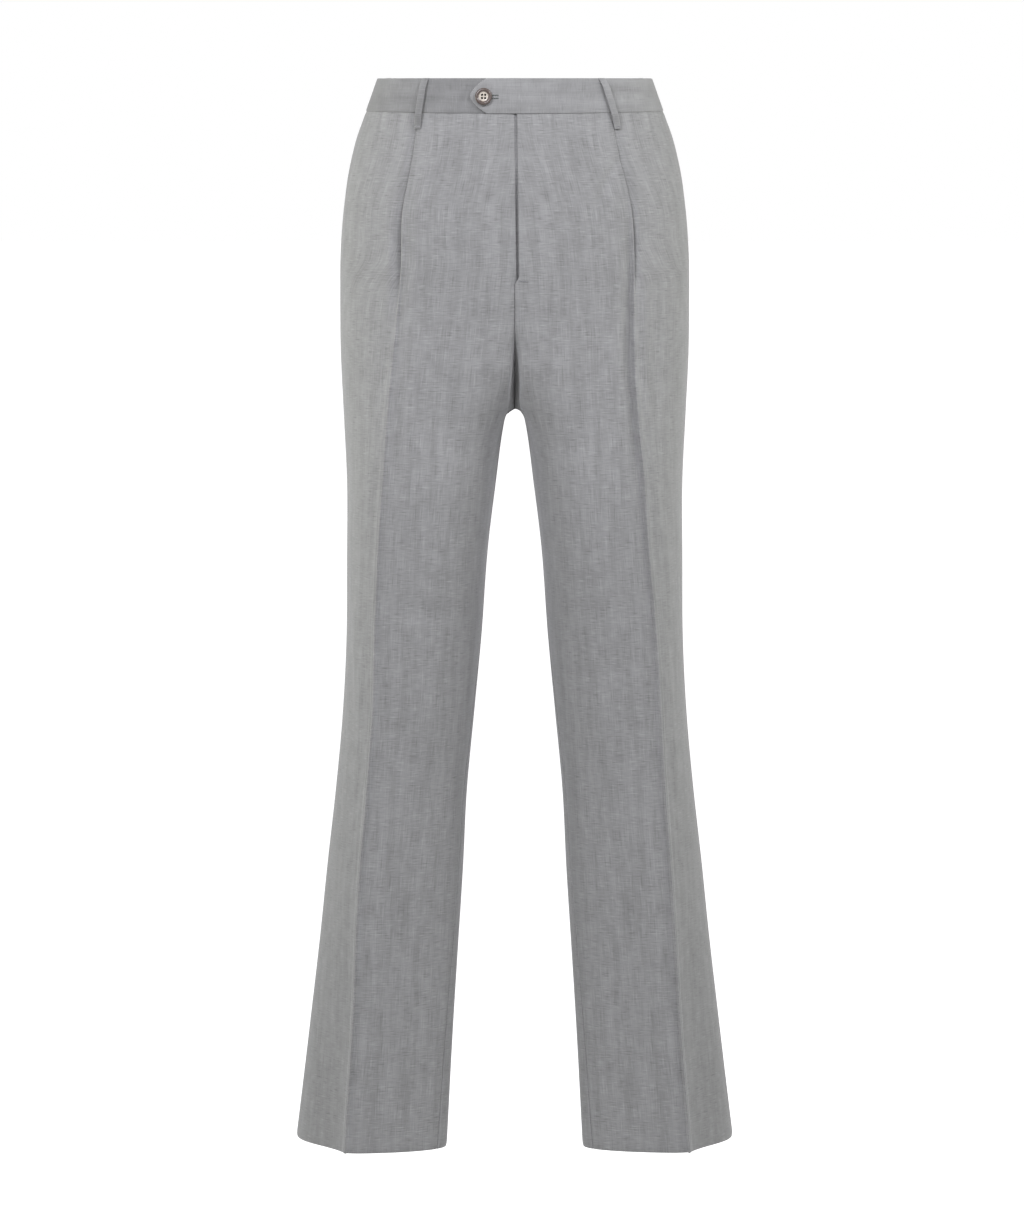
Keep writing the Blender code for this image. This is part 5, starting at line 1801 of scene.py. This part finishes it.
def on_front(hand):
    """The skin of a front, as a function of any grid of heights, tape readings and sinks."""
    def surface(z, tape, sink):
        """Places on this front; the grid is laid flat for the skin and shaped again after."""
        z, tape, sink = np.broadcast_arrays(z, tape, sink)
        points = skin(z.ravel(), tape.reshape(-1, 1), sink.reshape(-1, 1), hand)
        return points.reshape(z.shape + (3,))
    return surface


print("sides of a thread:", THREAD_SIDES)

# %% [markdown]
# ## Bar tacks
#
# A bar tack is a row of close stitches over a few long ones.  One locks the fly's foot, where
# the front would tear first, and one holds the foot of each belt loop.

# %% Bar tacks
FLY_TACK = dict(z=-186.4, tape=8.8, width=10.0, height=1.1, count=36, radius=0.15, lift=0.05)
LOOP_TACK = dict(width=LOOP_WIDTH - 1.4, height=1.1, count=20, radius=0.17,
                 lift=LOOP + SEAM_GAP + 0.35)
LOOP_TACK_UP = 2.4
TACK_STEPS = 7
TACK_WANDER, TACK_WAVE = 0.25, 7.0


def bar_tack(name, surface, z, tape, width, height, count, radius, lift):
    """Close upright stitches side by side over the width, each a half wave over the height.

    A slow sine of the place moves each a little to one side, so that no two lie quite alike.
    """
    t = np.linspace(0.0, 1.0, TACK_STEPS)[None, :]
    place = (np.arange(count) + 0.5)[:, None] / count - 0.5
    z_path = z + height * (t - 0.5) + 0 * place
    tape_path = tape + width * place + 0 * t + TACK_WANDER * radius * np.sin(TACK_WAVE * place)
    lift_path = lift + radius * (2.0 * np.sin(math.pi * t) - 1.0) + 0 * place
    return stitches(name, surface, z_path, tape_path, lift_path, radius, grey_thread)


def loop_tack(name, hand, corner, top_tape, foot_tape):
    """A tack across the foot of a belt loop, just above its folded end."""
    z = LOOP_FOOT + LOOP_TACK_UP
    base = float(corner_lengths(np.array([z]), hand)[0, corner])
    return bar_tack(name.replace("belt_loop", "loop_tack"), on_front(hand), z, base + foot_tape,
                    **LOOP_TACK)


fly_tack = bar_tack("fly_bar_tack", on_front(LEFT), **FLY_TACK)
loop_tacks = [loop_tack(**dict(zip(LOOP_COLUMNS, row))) for row in LOOPS]
print("tacks:", fly_tack.name, *(tack.name for tack in loop_tacks))

# %% [markdown]
# ## Buttonhole
#
# The buttonhole is worked by hand in a greener twist: close stitches square to its edge, round
# an eye at its front end, where the button's thread sits.  Only the end behind the button shows.

# %% Buttonhole
HOLE_STITCHES = 64
STITCH_REACH = 1.5
STITCH_STEPS = 6
STITCH_LIFT = 0.3
TWIST_RADIUS = 0.2
STEP_AHEAD = 0.002
KEYHOLE_LONG = 17.0
KEYHOLE_HALF_WIDE = 0.75
KEYHOLE_EYE = 2.0
EYE_SHARE = 0.3
EYE_TURN = math.radians(150.0)
EYE_ENDS = 1.7
KEYHOLE_FRONT = BUTTON_TAPE - 2.0


def keyhole(t):
    """The buttonhole's outline, t from 0 to 1: a round eye at the front and two straight sides."""
    from_eye = t - 0.5
    straight = np.abs(from_eye) >= EYE_SHARE / 2
    angle = EYE_TURN * (2.0 * np.clip((from_eye + EYE_SHARE / 2) / EYE_SHARE, 0.0, 1.0) - 1.0)
    leg = np.clip((np.abs(from_eye) - EYE_SHARE / 2) / (0.5 - EYE_SHARE / 2), 0.0, 1.0)
    along = np.where(straight, EYE_ENDS + (KEYHOLE_LONG - EYE_ENDS) * leg, -KEYHOLE_EYE * np.cos(angle))
    up = np.where(straight, np.sign(from_eye) * KEYHOLE_HALF_WIDE, KEYHOLE_EYE * np.sin(angle))
    return along, up


def on_tab(z, tape, sink):
    """The left half band's surface, for stitches."""
    return band_surface(z, tape, sink, LEFT)


def buttonhole():
    """Stitches square to the keyhole's outline: a quarter turn of its heading, times the reach."""
    t = (np.arange(HOLE_STITCHES) + 0.5) / HOLE_STITCHES
    along, up = keyhole(t)
    next_along, next_up = keyhole(t + STEP_AHEAD)
    way = pair(next_along - along, next_up - up)
    way /= np.linalg.norm(way, axis=-1, keepdims=True)
    share = np.linspace(0.0, 1.0, STITCH_STEPS)[None, :]
    tape = KEYHOLE_FRONT + along[:, None] + way[:, 1:] * STITCH_REACH * share
    z = BUTTON_Z + up[:, None] + way[:, :1] * STITCH_REACH * share
    lift = ON_TAB + STITCH_LIFT * np.sin(math.pi * share) + 0 * z
    return stitches("buttonhole_stitches", on_tab, z, tape, lift, TWIST_RADIUS,
                    green_grey_thread)


worked_hole = buttonhole()
print(worked_hole.name, "of", HOLE_STITCHES, "stitches")

# %% [markdown]
# ## Button thread
#
# The thread that holds the button fills its four holes to just below the dish.  Deep in a hole
# only its top shows, so a short turned post in each is enough.

# %% Button thread
THREAD_POST = ((0.0, 0.1), (0.9, 0.1), (0.92, 0.8), (0.6, 1.1), (0.0, 1.15))
POST_STEPS = 14


def button_thread():
    """Four posts, turned as the button was and put into its holes."""
    mesh = turned("button_thread", THREAD_POST, POST_STEPS, HOLES)
    seat_on_tab(mesh)
    mesh.materials.append(horn_thread)
    piece = link_piece("button_thread", mesh)
    return piece


posts = button_thread()
show_size(posts)

# %% [markdown]
# ## Room and floor
#
# The trousers stand in an even, pale room.  Both the room and the floor read as clean white to
# the eye, while the light that they give the cloth is only a soft fill: a surface that shone at
# full white would wash the creases out.  The Light Path node tells the two uses apart.  No
# finish of the trousers uses it.

# %% Room and floor
FLOOR_Z = -1.32
FLOOR_HALF = 40.0
FLOOR_POINTS = 5
ROOM_LIGHT = 0.2


def seen_white(tree, strength_socket, fill):
    """White for the camera's own rays, while the light that it gives to others is only the fill."""
    ray = add_node(tree, "ShaderNodeLightPath").outputs["Is Camera Ray"]
    strength = add_node(tree, "ShaderNodeMath", {0: ray, 1: 1.0 - fill, 2: fill},
                        operation="MULTIPLY_ADD")
    tree.links.new(strength.outputs["Value"], strength_socket)


def floor():
    """A flat grid under the trousers, as wide as a hall, in one clean white."""
    line = np.linspace(-1, 1, FLOOR_POINTS) * FLOOR_HALF
    x, y = np.meshgrid(line, line)
    points = np.stack([x, y, np.full_like(x, FLOOR_Z)], axis=-1)
    mesh = plain_mesh("floor", points, grid_faces(FLOOR_POINTS, FLOOR_POINTS, True))
    material, tree, shader = new_material("pale_floor")
    shader.inputs["Base Color"].default_value = linear("#e8e8e8")
    shader.inputs["Roughness"].default_value = 0.9
    shader.inputs["Emission Color"].default_value = (1.0, 1.0, 1.0, 1.0)
    seen_white(tree, shader.inputs["Emission Strength"], 0.0)
    mesh.materials.append(material)
    piece = bpy.data.objects.new("floor", mesh)
    bpy.context.scene.collection.objects.link(piece)
    return piece


floor()
world = bpy.data.worlds.new("white_room")
world.use_nodes = True
backdrop = world.node_tree.nodes["Background"]
backdrop.inputs["Color"].default_value = (1.0, 1.0, 1.0, 1.0)
seen_white(world.node_tree, backdrop.inputs["Strength"], ROOM_LIGHT)
bpy.context.scene.world = world
bpy.context.scene.view_settings.view_transform = "Standard"
print("floor at", FLOOR_Z, "m")

# %% [markdown]
# ## Lamps
#
# Most of the light comes from high in front, a little more from the wearer's right, so the top
# of each leg is paler than its foot.  Two small lamps close to the thighs rake along the sides
# and give the outer edges their bright rim.  The front lamps are a little cooler than the rest.
# A large lamp gives soft edges to its shadows, so none of these is a point.

# %% Lamps
COOL = "#f8f8ff"
WARM = "#fbfcf0"


def soft_lamp(name, place, target, size, watts, colour):
    """A rectangular area lamp at a place, turned towards a target."""
    data = bpy.data.lights.new(name, "AREA")
    data.shape = "RECTANGLE"
    data.size, data.size_y = size
    data.energy = watts
    data.color = linear(colour)[:3]
    lamp = bpy.data.objects.new(name, data)
    lamp.location = place
    way = Vector(target) - Vector(place)
    lamp.rotation_euler = way.to_track_quat("-Z", "Y").to_euler()
    bpy.context.scene.collection.objects.link(lamp)
    return lamp


lamps = [
    soft_lamp("window_right", (-1.0, -1.7, 1.2), (0.0, 0.0, -0.1), (0.8, 0.8), 29.0, COOL),
    soft_lamp("window_left", (1.1, -1.5, 1.3), (0.0, 0.0, 0.0), (0.8, 0.8), 23.0, COOL),
    soft_lamp("low_fill", (0.2, -2.2, 0.1), (0.0, 0.0, -0.1), (0.8, 0.8), 6.0, COOL),
    soft_lamp("rim_right", (-1.0, 0.15, -0.14), (-0.15, 0.0, -0.24), (0.3, 0.4), 3.7, WARM),
    soft_lamp("side_right", (-1.8, -0.7, 0.0), (-0.1, 0.0, -0.4), (0.5, 0.9), 3.0, WARM),
    soft_lamp("rim_left", (1.0, 0.15, -0.2), (0.15, 0.0, -0.24), (0.3, 0.4), 2.5, WARM),
    soft_lamp("side_left", (1.9, -0.6, 0.7), (0.1, 0.0, -0.1), (0.5, 0.9), 6.0, WARM),
]
print("lamps:", *(lamp.name for lamp in lamps))

# %% [markdown]
# ## Camera
#
# A long lens almost six metres away, level with the top of the band and turned down by a few
# degrees, so the top edge is seen as a straight line and the hems show that they are round.
# The focal length in pixels and the picture's height give the lens in millimetres.

# %% Camera
PICTURE_HIGH = 1231.0
FOCUS_PIXELS = 5487.0
TOP_EDGE_PIXELS = 535.5
CAMERA_AT = (-0.0028, -5.706, WAIST_TOP * MM)
PITCH = math.atan(TOP_EDGE_PIXELS / FOCUS_PIXELS)
SENSOR = 36.0

lens = bpy.data.cameras.new("camera")
lens.sensor_fit = "AUTO"
lens.sensor_width = SENSOR
lens.lens = SENSOR * FOCUS_PIXELS / PICTURE_HIGH
camera = bpy.data.objects.new("camera", lens)
camera.location = CAMERA_AT
camera.rotation_euler = (math.pi / 2 - PITCH, 0.0, 0.0)
bpy.context.scene.collection.objects.link(camera)
bpy.context.scene.camera = camera
print("lens:", round(lens.lens, 1), "mm, turned down by", round(math.degrees(PITCH), 2), "degrees")
